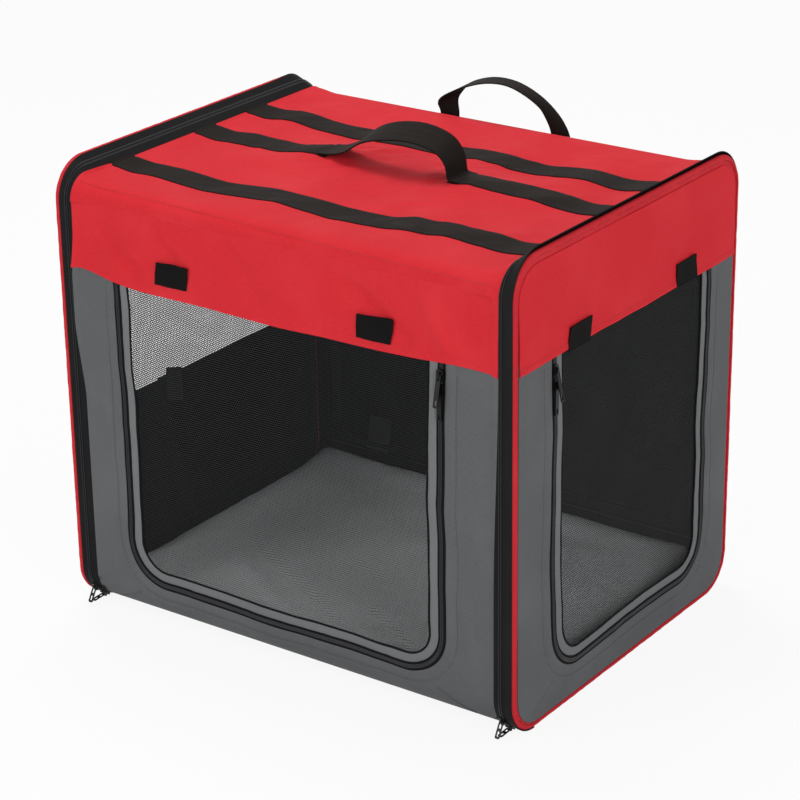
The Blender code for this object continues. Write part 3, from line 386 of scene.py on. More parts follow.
def sideways(heading):
    return Vector((heading.y, -heading.x))


# %% [markdown]
# ## The lines of this crate
#
# A door's zip is an open line. The stitched borders use the same line, carried a little higher so
# that their ends hide under the red bands. Piping and the steel loops are closed lines, and each
# zip band lies between two outlines: the sleeve's edge and the end's larger frame.

# %% Zips, borders and bands
UNDER_VALANCE = 12 * MM


def zip_line(fixed, axis, top):
    """The middle line of a door's zip, down one side, along the bottom and up the other."""
    left, right = low(fixed)[axis] + TAPE, high(fixed)[axis] - TAPE
    bottom = low(fixed).z + TAPE
    corners = [(left, top), (left, bottom), (right, bottom), (right, top)]
    return sewing_line(corners, [DOOR_BEND, DOOR_BEND])


def closed_line(half, bottom, top, bend):
    corners = [(0, bottom), (-half, bottom), (-half, top), (half, top), (half, bottom), (0, bottom)]
    return sewing_line(corners, [bend] * 4)


def band_outline(half, bottom, top, low_bend, top_bend):
    """Front foot, front, roll, roof, roll, back and back foot, in this order."""
    corners = [(-half + low_bend, bottom), (-half, bottom), (-half, top), (half, top),
               (half, bottom), (half - low_bend, bottom)]
    return sewing_line(corners, [low_bend, top_bend, top_bend, low_bend])


front_line = zip_line("front_zip_fixed", 0, DOOR_TOP)
side_line = zip_line("side_zip_fixed", 1, DOOR_TOP)
front_frame_line = zip_line("front_zip_fixed", 0, DOOR_TOP + UNDER_VALANCE)
side_frame_line = zip_line("side_zip_fixed", 1, DOOR_TOP + UNDER_VALANCE)
inner_outline = band_outline(BACK_Y, 0.0, ROOF_Z, low_bend=FOOT_BEND, top_bend=ROOF_BEND)
outer_outline = band_outline(half=227.5 * MM, bottom=1.0 * MM, top=532 * MM,
                             low_bend=44 * MM, top_bend=44 * MM)
BAND_WIDE = BAND_X[1] - BAND_X[0]
BAND_LONG = length_of(outer_outline)
CLEAR_OF_BAND = 1.3 * MM


def onto_band(across, number, part, proud):
    """Where the sleeve's cloth lies once it passes its own edge and rests on the zip band."""
    share = (abs(across) - SLEEVE_X) / BAND_WIDE
    inner, heading = stand(inner_outline[number], part)
    outer = stand(outer_outline[number], part)[0]
    lift = proud + CLEAR_OF_BAND * min(1.0, share * 8)
    spot = inner.lerp(outer, share) - sideways(heading) * lift
    return Vector((across, spot.x, spot.y))


print(f"front zip {length_of(front_line):.3f} m, side zip {length_of(side_line):.3f} m")

# %% [markdown]
# ## The lie of the walls
#
# Cloth on a light frame is never quite flat. Each wall gets one gentle wave pattern, a sum of
# smooth noise at a hand's breadth and at a finger's breadth, which dies away at the seams. Every
# piece on that wall asks the same function for its place, so neighbours stay joined. The front
# wall also turns under at the foot, so its heights are counted along the cloth.

# %% Waves and folds


def rise(value, start, end):
    """0 before the start, 1 after the end, and a soft slope between them."""
    share = min(1.0, max(0.0, (value - start) / (end - start)))
    return share * share * (3 - 2 * share)


def ripple(first, second, seed):
    return noise.noise(Vector((first, second, seed)))


def bell(apart):
    """1 in the middle of a soft mound, and nearly nothing from 3 on."""
    return 2.718 ** -apart


def groove(apart, depth, half):
    """A pressed line: as deep as given where `apart` is nought, and nothing from `half` on."""
    return -depth * max(0.0, 1 - abs(apart) / half)


def held(value, lowest, highest, reach=0.045):
    """0 at both ends of a range and 1 in its middle, so that a seam holds the cloth still."""
    return rise(value, lowest, lowest + reach) * rise(-value, -highest, -highest + reach)


def waves(across, up, seed, wide=4.2 * MM, fine=1.0 * MM):
    broad = ripple(across / 0.13, up / 0.17, seed)
    small = ripple(across / 0.045 + 0.4 * broad, up / 0.06, seed + 7.3)
    crease = 0.5 - abs(ripple(across / 0.14 + up / 0.07, up / 0.2 - across / 0.3, seed + 3.1))
    pinch = 0.5 - abs(ripple(across / 0.05 - up / 0.09, up / 0.06, seed + 5.7))
    patchy = max(0.0, ripple(across / 0.11, up / 0.11, seed + 9.9))
    return wide * broad + fine * small + 0.7 * wide * crease + 0.8 * wide * pinch * patchy


def fold_lift(folds, across, up):
    """Soft straight folds, each from one point to another with a height and a width in mm."""
    lift = 0.0
    point = Vector((across, up))
    for start_x, start_z, end_x, end_z, height, wide in folds:
        start = Vector((start_x, start_z))
        run = Vector((end_x, end_z)) - start
        share = min(1.0, max(0.0, (point - start).dot(run) / run.length_squared))
        apart = (point - start - run * share).length / (wide * MM)
        lift += height * MM * bell(apart * apart)
    return lift


FRONT_FOLDS = (
    (-0.245, 0.480, -0.190, 0.430, -5.2, 10), (-0.165, 0.480, -0.135, 0.450, -4.2, 8),
    (-0.215, 0.440, -0.150, 0.470, 3.6, 12), (0.095, 0.470, 0.165, 0.425, -4.6, 10),
    (0.190, 0.475, 0.215, 0.430, 3.8, 10), (-0.060, 0.475, -0.020, 0.430, -3.2, 12),
    (0.238, 0.140, 0.258, 0.040, 3.0, 9), (0.245, 0.260, 0.232, 0.170, -2.2, 10),
    (-0.250, 0.300, -0.238, 0.200, 2.2, 10), (-0.240, 0.120, -0.225, 0.050, -2.4, 9),
)
NETTING_FOLDS = (
    (0.119, 0.105, 0.168, 0.074, 6.0, 4), (-0.041, 0.141, 0.045, 0.097, 5.5, 9),
    (0.045, 0.097, 0.064, 0.078, 5.5, 7), (0.100, 0.152, 0.140, 0.140, 3.5, 8),
    (-0.150, 0.300, -0.120, 0.180, 3.5, 12),
)
print("folds in the front wall:", len(FRONT_FOLDS), "and in its netting:", len(NETTING_FOLDS))

# %% [markdown]
# ## One function for each wall
#
# A wall's function takes a place on the wall and how far a piece stands proud of it, and gives the
# point in space. Past the sleeve's edge the cloth laps onto the zip band. How far it laps changes
# with the height, as on the real crate, where it is drawn tight at some places and loose at others.

# %% Wall surfaces


def front_edge(side, up):
    """How far the front cloth passes the sleeve's edge and rests on the zip band."""
    if side < 0:
        return 1.0 * MM + 8.5 * MM * rise(up, 0.26, 0.36) - 5.0 * MM * rise(up, 0.40, 0.46)
    return 3.0 * MM + 6.5 * MM * rise(up, 0.15, 0.42)


def back_edge(side, up):
    return 2.0 * MM + 2.0 * MM * rise(up, 0.30, 0.46)


def front_wall(across, up, proud=0.0):
    turn = max(0.0, FOOT_BEND - up) / FOOT_BEND
    if abs(across) > SLEEVE_X:
        if up >= FOOT_BEND:
            return onto_band(across, 1, (up - FOOT_BEND) / (FOLD_Z - FOOT_BEND), proud)
        return onto_band(across, 0, 1 - turn / (pi / 2), proud)
    calm = held(across, -SLEEVE_X, SLEEVE_X) * held(up, 0.0, FOLD_Z, 0.03)
    proud += (waves(across, up, 1.0) + fold_lift(FRONT_FOLDS, across, up)) * calm
    if up >= FOOT_BEND:
        return Vector((across, FRONT_Y - proud, up))
    reach = FOOT_BEND + proud
    return Vector((across, FRONT_Y + FOOT_BEND - reach * cos(turn), FOOT_BEND - reach * sin(turn)))


def back_wall(across, up, proud=0.0):
    if abs(across) > SLEEVE_X:
        return onto_band(across, 5, (FOLD_Z - up) / (FOLD_Z - FOOT_BEND), proud)
    calm = held(across, -SLEEVE_X, SLEEVE_X) * held(up, 50 * MM, FOLD_Z, 0.03)
    return Vector((across, BACK_Y + proud + waves(across, up, 21.0) * calm, up))


def end_wall(side, seed):
    def place(across, up, proud=0.0):
        calm = held(across, -HALF_DEPTH, HALF_DEPTH) * held(up, 0.0, PIPING_TOP)
        out = END_X + proud + waves(across, up, seed, 3.4 * MM) * calm
        return Vector((side * out, across, up))
    return place


right_wall = end_wall(1, 41.0)
left_wall = end_wall(-1, 61.0)
ENDS = (("right_end", right_wall, 1), ("left_end", left_wall, -1))
print("right wall in its middle:", [round(c, 4) for c in right_wall(0.0, 0.45)])

# %% [markdown]
# ## Cutting and finishing cloth
#
# Every sheet starts as Blender's flat grid. Each corner of each face first gets its place in the
# cut pattern, in metres, as a UV map called weave, and only then is the grid laid on its surface.
# So the weave follows the cloth, and the cut size can be measured from that map. Solidify gives
# the thickness, with the lining as the second material, and edges that turn sharply stay crisp.

# %% Cloth helpers
CUTS = {}


def cloth(name, cells, flat, place, outward):
    """Cut a sheet and lay it. Both functions take shares u and v, from 0 to 1 across the sheet."""
    build = bmesh.new()
    bmesh.ops.create_grid(build, x_segments=cells[0], y_segments=cells[1], size=0.5)
    weave = build.loops.layers.uv.new("weave")
    area = 0.0
    for face in build.faces:
        corners = []
        for loop in face.loops:
            corner = Vector(flat(loop.vert.co.x + 0.5, loop.vert.co.y + 0.5))
            loop[weave].uv = corner
            corners.append(corner)
        for first, second in zip(corners, corners[1:] + corners[:1]):
            area += (first.x * second.y - second.x * first.y) / 2
    for vertex in build.verts:
        vertex.co = place(vertex.co.x + 0.5, vertex.co.y + 0.5)
    bmesh.ops.remove_doubles(build, verts=build.verts, dist=0.01 * MM)
    build.normal_update()
    facing = sum((face.normal * face.calc_area() for face in build.faces), Vector())
    if facing.dot(Vector(outward)) < 0:
        bmesh.ops.reverse_faces(build, faces=build.faces)
    uvs = [loop[weave].uv for face in build.faces for loop in face.loops]
    sizes = [max(uv[i] for uv in uvs) - min(uv[i] for uv in uvs) for i in (0, 1)]
    CUTS[name] = (sizes[0], sizes[1], abs(area))
    return build


def rectangle(name, cells, span, levels, place, outward):
    """A rectangle of cloth, laid by its place across and up in metres."""
    wide, tall = span[1] - span[0], levels[1] - levels[0]
    return cloth(name, cells, lambda u, v: (wide * u, tall * v),
                 lambda u, v: place(span[0] + wide * u, levels[0] + tall * v), outward)


def mesh_object(name, build):
    mesh = bpy.data.meshes.new(name)
    build.to_mesh(mesh)
    build.free()
    made = bpy.data.objects.new(name, mesh)
    bpy.context.scene.collection.objects.link(made)
    return made


def apply_modifiers(piece):
    whole = bpy.data.meshes.new_from_object(
        piece.evaluated_get(bpy.context.evaluated_depsgraph_get()))
    piece.modifiers.clear()
    piece.data = whole


# %% [markdown]
#
# A finished piece says which body of the imported model it moves with, which finish it has there,
# and which imported parts it stands for. A piece given two bodies is attached to neither: its place
# is baked into its mesh. A piece's cut size and area are then printed; a long narrow strip that runs
# round a bend keeps its area as measured.

# %% Finish and declare


def finish(name, build, looks, body, stands_for=(), thickness=0.0, rim=0):
    piece = mesh_object(name, build)
    for look in looks:
        piece.data.materials.append(look)
    if thickness:
        solid = piece.modifiers.new("thickness", "SOLIDIFY")
        solid.thickness = thickness
        solid.offset = -1.0
        solid.material_offset = 1 if len(looks) > 1 else 0
        solid.material_offset_rim = rim
        apply_modifiers(piece)
    piece.data.shade_smooth()
    piece.data.set_sharp_from_angle(angle=radians(40))
    if stands_for:
        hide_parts(*stands_for)
    if isinstance(body, str):
        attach(piece, body)
    else:
        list(body)
        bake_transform(piece)
    return piece


def declare(piece, strip=0.0):
    wide, long, area = CUTS[piece.name]
    if strip or area < 0.3 * wide * long:
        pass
    else:
        area = min(area, wide * long)
    print(f"{piece.name}: cut {wide:.3f} x {long:.3f} m, {area:.4f} square metres")


# %% [markdown]
# ## Stitches
#
# A lock stitch shows as a short bead of thread that dips into the cloth at both ends. One small
# twenty-sided ball, stretched along the seam, is enough for each. They are drawn 3 mm long, one
# every 4 mm, which is what a domestic canvas seam has.

# %% Stitch helper
BEAD_LONG, BEAD_WIDE, BEAD_HIGH = 3.0 * MM, 0.8 * MM, 0.7 * MM


def stitches(name, place, out, length, thread, body, pitch=4.0 * MM):
    build = bmesh.new()
    count = int(length / pitch)
    for number in range(count):
        distance = (number + 0.5) * pitch
        heading = (place(distance + MM) - place(distance - MM)).normalized()
        aside = Vector(out).normalized().cross(heading).normalized()
        turned = Matrix((heading, aside, aside.cross(heading))).transposed().to_4x4()
        bmesh.ops.create_icosphere(
            build, subdivisions=1, radius=0.5,
            matrix=Matrix.Translation(place(distance)) @ turned
            @ Matrix.Diagonal((BEAD_LONG, BEAD_WIDE, BEAD_HIGH, 1.0)))
    finish(name, build, [thread], body)
    print(f"{name}: {count} stitches")


# %% [markdown]
# ## The roof
#
# The roof is one red panel that rolls over the front and back edges. It hangs loosely between the
# ends, so it dips between the straps and is pulled up where the carrying handle is sewn on. The
# dips and rises are a short list of soft mounds, each with its place, its lift in millimetres and
# its spread, and finer creases come from noise. The cloth is creased most round the handle's feet.

# %% Roof's rise and fall
MOUNDS = (
    (-0.140, -0.145, -7.0, 0.050, 0.060), (0.037, -0.145, -7.0, 0.060, 0.050),
    (0.180, -0.140, 4.0, 0.050, 0.050), (-0.240, 0.000, -1.5, 0.030, 0.060),
    (-0.100, 0.000, 9.0, 0.045, 0.040), (0.095, 0.000, 8.0, 0.050, 0.040),
    (0.170, 0.010, 6.0, 0.050, 0.050), (-0.215, 0.100, 3.5, 0.030, 0.060),
    (-0.135, 0.100, -5.5, 0.045, 0.060), (0.000, 0.090, -4.5, 0.070, 0.050),
    (0.120, 0.100, -7.0, 0.040, 0.050), (0.235, 0.090, -5.0, 0.030, 0.050),
    (0.000, -0.070, -4.0, 0.090, 0.035), (-0.010, 0.170, -3.0, 0.120, 0.030),
)
CREASED_PLACES = ((-0.075, 0.04), (0.060, 0.045), (0.090, -0.045), (-0.07, -0.05))


def mound(across, deep, x, y, wide, long):
    return bell(((across - x) / wide) ** 2 + ((deep - y) / long) ** 2)


def roof_lift(across, deep):
    lift = 0.0
    for x, y, amount, wide, long in MOUNDS:
        lift += amount * MM * mound(across, deep, x, y, wide, long)
    crease = 0.5 - abs(ripple(across / 0.10 - deep / 0.16, deep / 0.11, 5.0))
    small = ripple(across / 0.035, deep / 0.05, 9.0)
    pinch = 0.5 - abs(ripple(across / 0.045 + deep / 0.08, deep / 0.05, 13.0))
    patchy = max(0.0, ripple(across / 0.09, deep / 0.09, 17.0))
    lift = 0.8 * lift + 3.6 * MM * crease + 0.9 * MM * small + 7.0 * MM * pinch * patchy
    handled = 0.5 - abs(ripple(across / 0.030 - deep / 0.045, deep / 0.024, 19.0))
    near_feet = sum(mound(across, deep, x, y, 0.045, 0.035) for x, y in CREASED_PLACES)
    lift += 3.4 * MM * handled * min(1.0, 0.25 + near_feet)
    ends = held(across, -SLEEVE_X, SLEEVE_X, 0.055)
    return lift * ends * held(deep, FRONT_Y + 0.4 * ROOF_BEND, BACK_Y - 0.4 * ROOF_BEND, 0.05)


print("roof over its middle:", round(1000 * (ROOF_Z + roof_lift(0.0, 0.0)), 1), "mm")

# %% [markdown]
# ## The roof's cloth
#
# A place on the roof is given by how far it is across and how far along the cloth, from the seam
# with the front wall over both rolls to the back wall. A seam crosses the front roll, drawn as a
# shallow groove. At both ends the cloth swells a little before it goes under the end's seam.

# %% Roof cloth
ROLL = ROOF_BEND * pi / 2
ROOF_FLAT = BACK_Y - FRONT_Y - 2 * ROOF_BEND
ROOF_LONG = 2 * ROLL + ROOF_FLAT
LAP = 4 * MM
END_SWELL = 3.2 * MM


def seam_at(across):
    """The seam runs a little askew: nearer the wall at the right than at the left."""
    return ROLL * (0.58 - 0.36 * rise(across, -0.30, 0.26))


def roof_edge(side, along):
    """How far the roof's cloth passes the sleeve's edge: furthest near the front."""
    near_front = rise(-along, -ROLL - 70 * MM, -0.5 * ROLL)
    if side < 0:
        return 1.0 * MM + 3.5 * MM * near_front
    return 4.0 * MM + 5.5 * MM * near_front


def roof(across, along, proud=0.0):
    near_end = rise(abs(across), SLEEVE_X - 32 * MM, SLEEVE_X)
    proud += END_SWELL * near_end * (1 - rise(abs(across), SLEEVE_X, SLEEVE_X + 8 * MM))
    proud += (rise(SLEEVE_X - abs(across), 0.0, 15 * MM)
              * groove(along - seam_at(across), 1.2 * MM, 2.0 * MM))
    past_flat = along - ROLL - ROOF_FLAT
    if abs(across) > SLEEVE_X:
        if along < ROLL:
            return onto_band(across, 2, along / ROLL, proud)
        if past_flat > 0:
            return onto_band(across, 4, past_flat / ROLL, proud)
        return onto_band(across, 3, (along - ROLL) / ROOF_FLAT, proud)
    reach = ROOF_BEND + proud
    if along < ROLL:
        deep = FRONT_Y + ROOF_BEND - reach * cos(along / ROOF_BEND)
        up = FOLD_Z + reach * sin(along / ROOF_BEND)
    elif past_flat > 0:
        deep = BACK_Y - ROOF_BEND + reach * sin(past_flat / ROOF_BEND)
        up = FOLD_Z + reach * cos(past_flat / ROOF_BEND)
    else:
        deep = FRONT_Y + ROOF_BEND + along - ROLL
        up = ROOF_Z + proud
    return Vector((across, deep, up + roof_lift(across, deep)))


def roof_place(u, v):
    along = ROOF_LONG * v
    left, right = -SLEEVE_X - roof_edge(-1, along), SLEEVE_X + roof_edge(1, along)
    return roof(left + (right - left) * u, along)


build = cloth("roof_cloth", (180, 150),
              lambda u, v: (2 * (SLEEVE_X + LAP) * u, ROOF_LONG * v), roof_place, (0, 0, 1))
roof_cloth = finish("roof_cloth", build, [red_canvas, lining], "roof",
                    ["roof_panel"], CANVAS_THICK)
declare(roof_cloth)


def seam_row(distance):
    across = distance - SLEEVE_X
    return roof(across, seam_at(across) + 3.2 * MM, 0.1 * MM)


stitches("roof_seam_stitches", seam_row, (0, -0.5, 0.8), 2 * SLEEVE_X, red_thread, "roof")

# %% [markdown]
# ## Straps across the roof
#
# Three lengths of 38 mm webbing are sewn flat on the roof and dive under the zip bands. They take
# the roof's own shape and lie just above it. The middle one stops at both feet of the carrying
# handle, because the handle is the same piece of webbing left loose.

# %% Roof straps
STRAP_EDGES = (("near", 0.07), ("far", 0.93))


def strap(name, part):
    left, right = low(part).x, high(part).x
    near, far = low(part).y, high(part).y
    start = ROLL + near - FRONT_Y - ROOF_BEND
    left -= roof_edge(-1, start) + MM if left < -SLEEVE_X + MM else 0.0
    right += roof_edge(1, start) + MM if right > SLEEVE_X - MM else 0.0
    long, wide = right - left, far - near

    def lie(u, v):
        lift = 1.5 * MM - 0.5 * MM * abs(2 * v - 1) ** 6
        return roof(left + long * u, start + wide * v, lift)

    build = cloth(name, (max(20, int(long / (4 * MM))), 10), lambda u, v: (long * u, wide * v),
                  lie, (0, 0, 1))
    piece = finish(name, build, [webbing], "roof", [part], 1.2 * MM)
    declare(piece)
    return lie, long


for part in ("roof_strap_front", "roof_strap_middle_left", "roof_strap_middle_right",
             "roof_strap_back"):
    lie, long = strap(part + "_webbing", part)
    for label, edge in STRAP_EDGES:
        stitches(f"{part}_stitches_{label}",
                 lambda d: lie(d / long, edge) + Vector((0, 0, 0.1 * MM)), (0, 0, 1), long,
                 black_thread, "roof", 5.0 * MM)

# %% [markdown]
# ## The two handles
#
# A handle is a flat ribbon that bends and twists. Its middle line is a smooth curve through a few
# points, and at each point the ribbon has its own crosswise direction: the carrying handle leans
# towards the front, and the back handle is sewn flat to the back wall and turns its broad face up
# at the top. Each ribbon is given the wall's body and the handle's, but is attached to neither: its
# place is baked into its mesh.

# %% Handles


def smooth_curve(points, share):
    """A curve through all the points, which eases from each to the next."""
    spans = len(points) - 1
    place = min(max(share, 0.0), 0.999999) * spans
    number = int(place)
    part = place - number
    before = points[max(number - 1, 0)]
    first, second = points[number], points[number + 1]
    after = points[min(number + 2, spans)]
    result = []
    for a, b, c, d in zip(before, first, second, after):
        result.append(0.5 * (2 * b + (c - a) * part + (2 * a - 5 * b + 4 * c - d) * part ** 2
                             + (3 * b - a - 3 * c + d) * part ** 3))
    return result


def ribbon(name, points, wide, body, part):
    """Points are (x, y, z, yaw, lean) in millimetres and degrees, for the crosswise direction."""
    def lie(u, v):
        x, y, z, yaw, lean = smooth_curve(points, u)
        flat = cos(radians(lean))
        crosswise = Vector((cos(radians(yaw)) * flat, sin(radians(yaw)) * flat, sin(radians(lean))))
        return Vector((x, y, z)) * MM + crosswise * (v - 0.5) * wide

    long = sum((lie((n + 1) / 60, 0.5) - lie(n / 60, 0.5)).length for n in range(60))
    build = cloth(name, (90, 8), lambda u, v: (long * u, wide * v), lie, (0, 0, 1))
    piece = finish(name, build, [webbing], body, [part], 1.6 * MM)
    declare(piece)


def foot_height(across):
    """The height in millimetres at which a foot of the carrying handle lies on its strap."""
    return 1000 * (ROOF_Z + roof_lift(across, 0)) + 1.9


LEFT_FOOT, RIGHT_FOOT = foot_height(-0.086), foot_height(0.078)
ribbon(
    "carrying_handle", (
        (-96, 0, LEFT_FOOT, 90, 0), (-80, 0, LEFT_FOOT + 2, 90, 2), (-60, 0, 533, 90, 8),
        (-37, 0, 549, 90, 14), (-10, 0, 558, 90, 18), (20, 0, 562, 90, 18), (45, 0, 560, 90, 16),
        (65, 0, 553, 90, 12), (76, 0, 540, 90, 6), (79, 0, 526, 90, 2),
        (81, 0, RIGHT_FOOT + 1.5, 90, 0), (92, 0, RIGHT_FOOT, 90, 0),
    ), 38 * MM, ("roof", "roof_handle", (-0.004, 0, 0.519), (-0.004, 0, 0.540)), "roof_handle")
ribbon(
    "back_handle_webbing", (
        (-85, 228, 468, 0, 0), (-85, 228, 490, 0, 0), (-86, 228, 510, 5, 0),
        (-88, 228, 526, 30, 10), (-70, 228, 543, 75, 10), (-36, 229, 556, 88, 4),
        (-3, 229, 558, 85, -4), (26, 229, 549, 60, -14), (50, 229, 533, 32, -20),
        (64, 228, 514, 6, -8), (68, 228, 495, 0, 0), (68, 228, 468, 0, 0),
    ), 25 * MM, ("back_wall", "back_handle", (0, 0.2273, 0.500), (0, 0.2273, 0.522)),
    "back_handle")

# %% [markdown]
# ## Wall bands
#
# Red bands run round the top of all four walls. Each has a hem at its lower edge, where the cloth
# is folded double and sewn, so the edge stands slightly proud and is never quite straight.

# %% Front and back bands
HEM_ROW = 6.5 * MM


def hem(across, seed):
    """The lower edge sags in the middle and is drawn up at the left."""
    sag = -5.0 * MM * held(across, -SLEEVE_X, SLEEVE_X, 0.16)
    drawn = 6.0 * MM * rise(-across, 0.19, 0.27)
    return sag + drawn + 1.2 * MM * ripple(across / 0.07, 0.0, seed)


def band_proud(up):
    fold = 0.7 * MM * rise(-up, -HEM_Z - 9 * MM, -HEM_Z - 7 * MM)
    row = groove(up - HEM_Z - HEM_ROW, 0.8 * MM, 2.2 * MM)
    return 1.1 * MM * rise(-up, -FOLD_Z + 4 * MM, -HEM_Z - 20 * MM) + fold + row


def wall_band(name, wall, edges, seed, outward, body, part):
    wide, tall = 2 * (SLEEVE_X + LAP), FOLD_Z - HEM_Z

    def lie(u, v):
        up = HEM_Z + tall * v
        left, right = -SLEEVE_X - edges(-1, up), SLEEVE_X + edges(1, up)
        across = left + (right - left) * u
        return wall(across, up + hem(across, seed) * (1 - v) ** 3, band_proud(up))

    def row(distance):
        across = distance - SLEEVE_X
        return wall(across, HEM_Z + HEM_ROW + 0.78 * hem(across, seed),
                    band_proud(HEM_Z + 8 * MM) - 0.2 * MM)

    build = cloth(name, (160, 44), lambda u, v: (wide * u, tall * v), lie, outward)
    piece = finish(name, build, [red_canvas, lining], body, [part], CANVAS_THICK)
    declare(piece)
    stitches(name + "_hem_stitches", row, outward, 2 * SLEEVE_X, red_thread, body)


wall_band("front_wall_band", front_wall, front_edge, 2.0, (0, -1, 0), "front_wall",
          "front_valance")
wall_band("back_wall_band", back_wall, back_edge, 3.0, (0, 1, 0), "back_wall", "back_valance")

# %% [markdown]
# ## Panels with two rounded corners
#
# The red band of an end is rounded at its top corners, and a door's netting is rounded at its
# bottom corners. Both are grids whose rows get narrower along a quarter circle, with the rows set
# closer together there, so the outline is smooth.

# %% Rounded panels
END_SPAN = (-HALF_DEPTH + 10.5 * MM, HALF_DEPTH - 9.5 * MM)
END_TOP = PIPING_TOP - 12 * MM


def rounded_row(v, span, levels, bend, at_top):
    """Where row v of a rounded panel lies, and where it starts and ends."""
    bottom, top = levels
    tall = top - bottom
    bent = bend / tall
    share = v if at_top else 1 - v
    if share < 1 - bent:
        climb, inset = share * tall, 0.0
    else:
        turn = (share - 1 + bent) / bent * pi / 2
        climb = tall - bend + bend * sin(turn)
        inset = bend * (1 - cos(turn))
    up = bottom + climb if at_top else top - climb
    return up, span[0] + inset, span[1] - inset


def rounded_panel(name, wall, span, levels, bend, at_top, cells, outward, proud):
    def spot(u, v):
        up, left, right = rounded_row(v, span, levels, bend, at_top)
        return left + (right - left) * u, up

    def lie(u, v):
        across, up = spot(u, v)
        return wall(across, up, proud(across, up))

    return cloth(name, cells, spot, lie, outward)


for side_name, wall, side in ENDS:
    name = side_name + "_band"
    build = rounded_panel(name, wall, END_SPAN, (HEM_Z, END_TOP), bend=34 * MM, at_top=True,
                          cells=(110, 54), outward=(side, 0, 0),
                          proud=lambda across, up: 0.6 * MM + band_proud(up))
    piece = finish(name, build, [red_canvas, lining], side_name,
                   [side_name + "_valance"], CANVAS_THICK)
    declare(piece)
    stitches(side_name + "_hem_stitches",
             lambda d: wall(END_SPAN[0] + d, HEM_Z + HEM_ROW, 1.9 * MM), (side, 0, 0),
             END_SPAN[1] - END_SPAN[0], red_thread, side_name)

# %% [markdown]
# ## Borders round the doors
#
# Grey canvas fills each wall from the zip out to its edges. It is cut as strips, sewn end to end
# with slanting seams at the lower corners. Next to the zip the edge is folded under, which leaves a
# soft roll, and a row of stitches in a groove holds it down 18.5 mm from the zip's middle.

# %% Borders
ROW_REACH = 18.5 * MM
UNDER_BAND = 20 * MM


def outer_reach(point, out, span, bottom, bend):
    """How far a point may move outwards before it meets the border's outer outline."""
    near, far = 0.0, 0.2
    for _ in range(18):
        middle = (near + far) / 2
        spot = point + out * middle
        left, right = span(spot.y)
        aside = max(left - spot.x, spot.x - right) + bend
        below = bottom - spot.y + bend
        apart = Vector((max(0.0, aside), max(0.0, below))).length if bend else max(aside, below)
        if apart > bend:
            far = middle
        else:
            near = middle
    return near


def fold_proud(reach):
    roll = 1.1 * MM * rise(reach, 4 * MM, 7 * MM) * rise(-reach, -18 * MM, -13 * MM)
    return roll + groove(reach - ROW_REACH, 0.6 * MM, 1.8 * MM)


def border(body, wall, line, span, bottom, bend, outward, part, level):
    name = part.replace("panel", "border")
    long = length_of(line)

    def spot(u, v):
        point, heading = follow(line, long * u)
        out = sideways(heading)
        widest = outer_reach(point, out, span, bottom, bend)
        reach = TAPE + (widest - TAPE) * v
        return point + out * reach, reach

    def lie(u, v):
        place, reach = spot(u, v)
        shown = 1 - rise(place.y, HEM_Z, HEM_Z + 5 * MM)
        return wall(place.x, place.y, level + fold_proud(reach) * shown)

    def row(distance):
        point, heading = follow(line, distance + UNDER_BAND)
        place = point + sideways(heading) * ROW_REACH
        return wall(place.x, place.y, level - 0.2 * MM)

    build = cloth(name, (240, 34), lambda u, v: spot(u, v)[0], lie, outward)
    piece = finish(name, build, [grey_canvas, lining], body, [part], CANVAS_THICK)
    declare(piece, strip=long)
    stitches(name + "_stitches", row, outward, long - 2 * UNDER_BAND, grey_thread, body)


border("front_wall", front_wall, front_frame_line,
       span=lambda up: (-SLEEVE_X - front_edge(-1, up), SLEEVE_X + front_edge(1, up)),
       bottom=9.8 * MM, bend=0.0, outward=(0, -1, 0), part="front_panel", level=0.0)
for side_name, wall, side in ENDS:
    border(side_name, wall, side_frame_line, span=lambda up: END_SPAN, bottom=6.5 * MM,
           bend=38 * MM, outward=(side, 0, 0), part=side_name + "_panel", level=0.4 * MM)

# %% [markdown]
# ## Mitre seams
#
# Where two border strips meet at a lower corner, a slanting seam runs from the zip's bend to the
# corner. It is drawn as a narrow pressed welt of thread. Each is given by its two ends on the
# wall.

# %% Mitre seams
FRONT_MITRES = (("left", (-0.207, 0.036), (-0.250, 0.012)),
                ("right", (0.203, 0.036), (0.246, 0.012)))
END_MITRES = (("front", (-0.151, 0.042), (-0.190, 0.016)),
              ("back", (0.161, 0.048), (0.208, 0.020)))


def mitre(name, wall, start, end, outward, body):
    start = Vector(start)
    run = Vector(end) - start
    aside = Vector((-run.y, run.x)).normalized() * 1.6 * MM

    def lie(u, v):
        place = start + run * u + aside * (v - 0.5)
        return wall(place.x, place.y, 0.75 * MM * (1 - abs(2 * v - 1)) + 0.35 * MM)

    build = cloth(name, (20, 4), lambda u, v: (run.length * u, 2 * MM * v), lie, outward)
    finish(name, build, [grey_thread], body, (), 0.5 * MM)


for label, start, end in FRONT_MITRES:
    mitre(f"front_{label}_mitre", front_wall, start, end, (0, -1, 0), "front_wall")
for side_name, wall, side in ENDS:
    for label, start, end in END_MITRES:
        mitre(f"{side_name}_{label}_mitre", wall, start, end, (side, 0, 0), side_name)
print("mitre seams:", len(FRONT_MITRES) + 2 * len(END_MITRES))

# %% [markdown]
# ## Strips that follow a line
#
# Zip tapes, coils, bindings and folded edges are all strips that follow the zip's line at a given
# distance from it. One helper makes them all. It is told the strip's inner and outer edge,
# counted outwards from the line, and the height of its profile.

# %% Strip helper


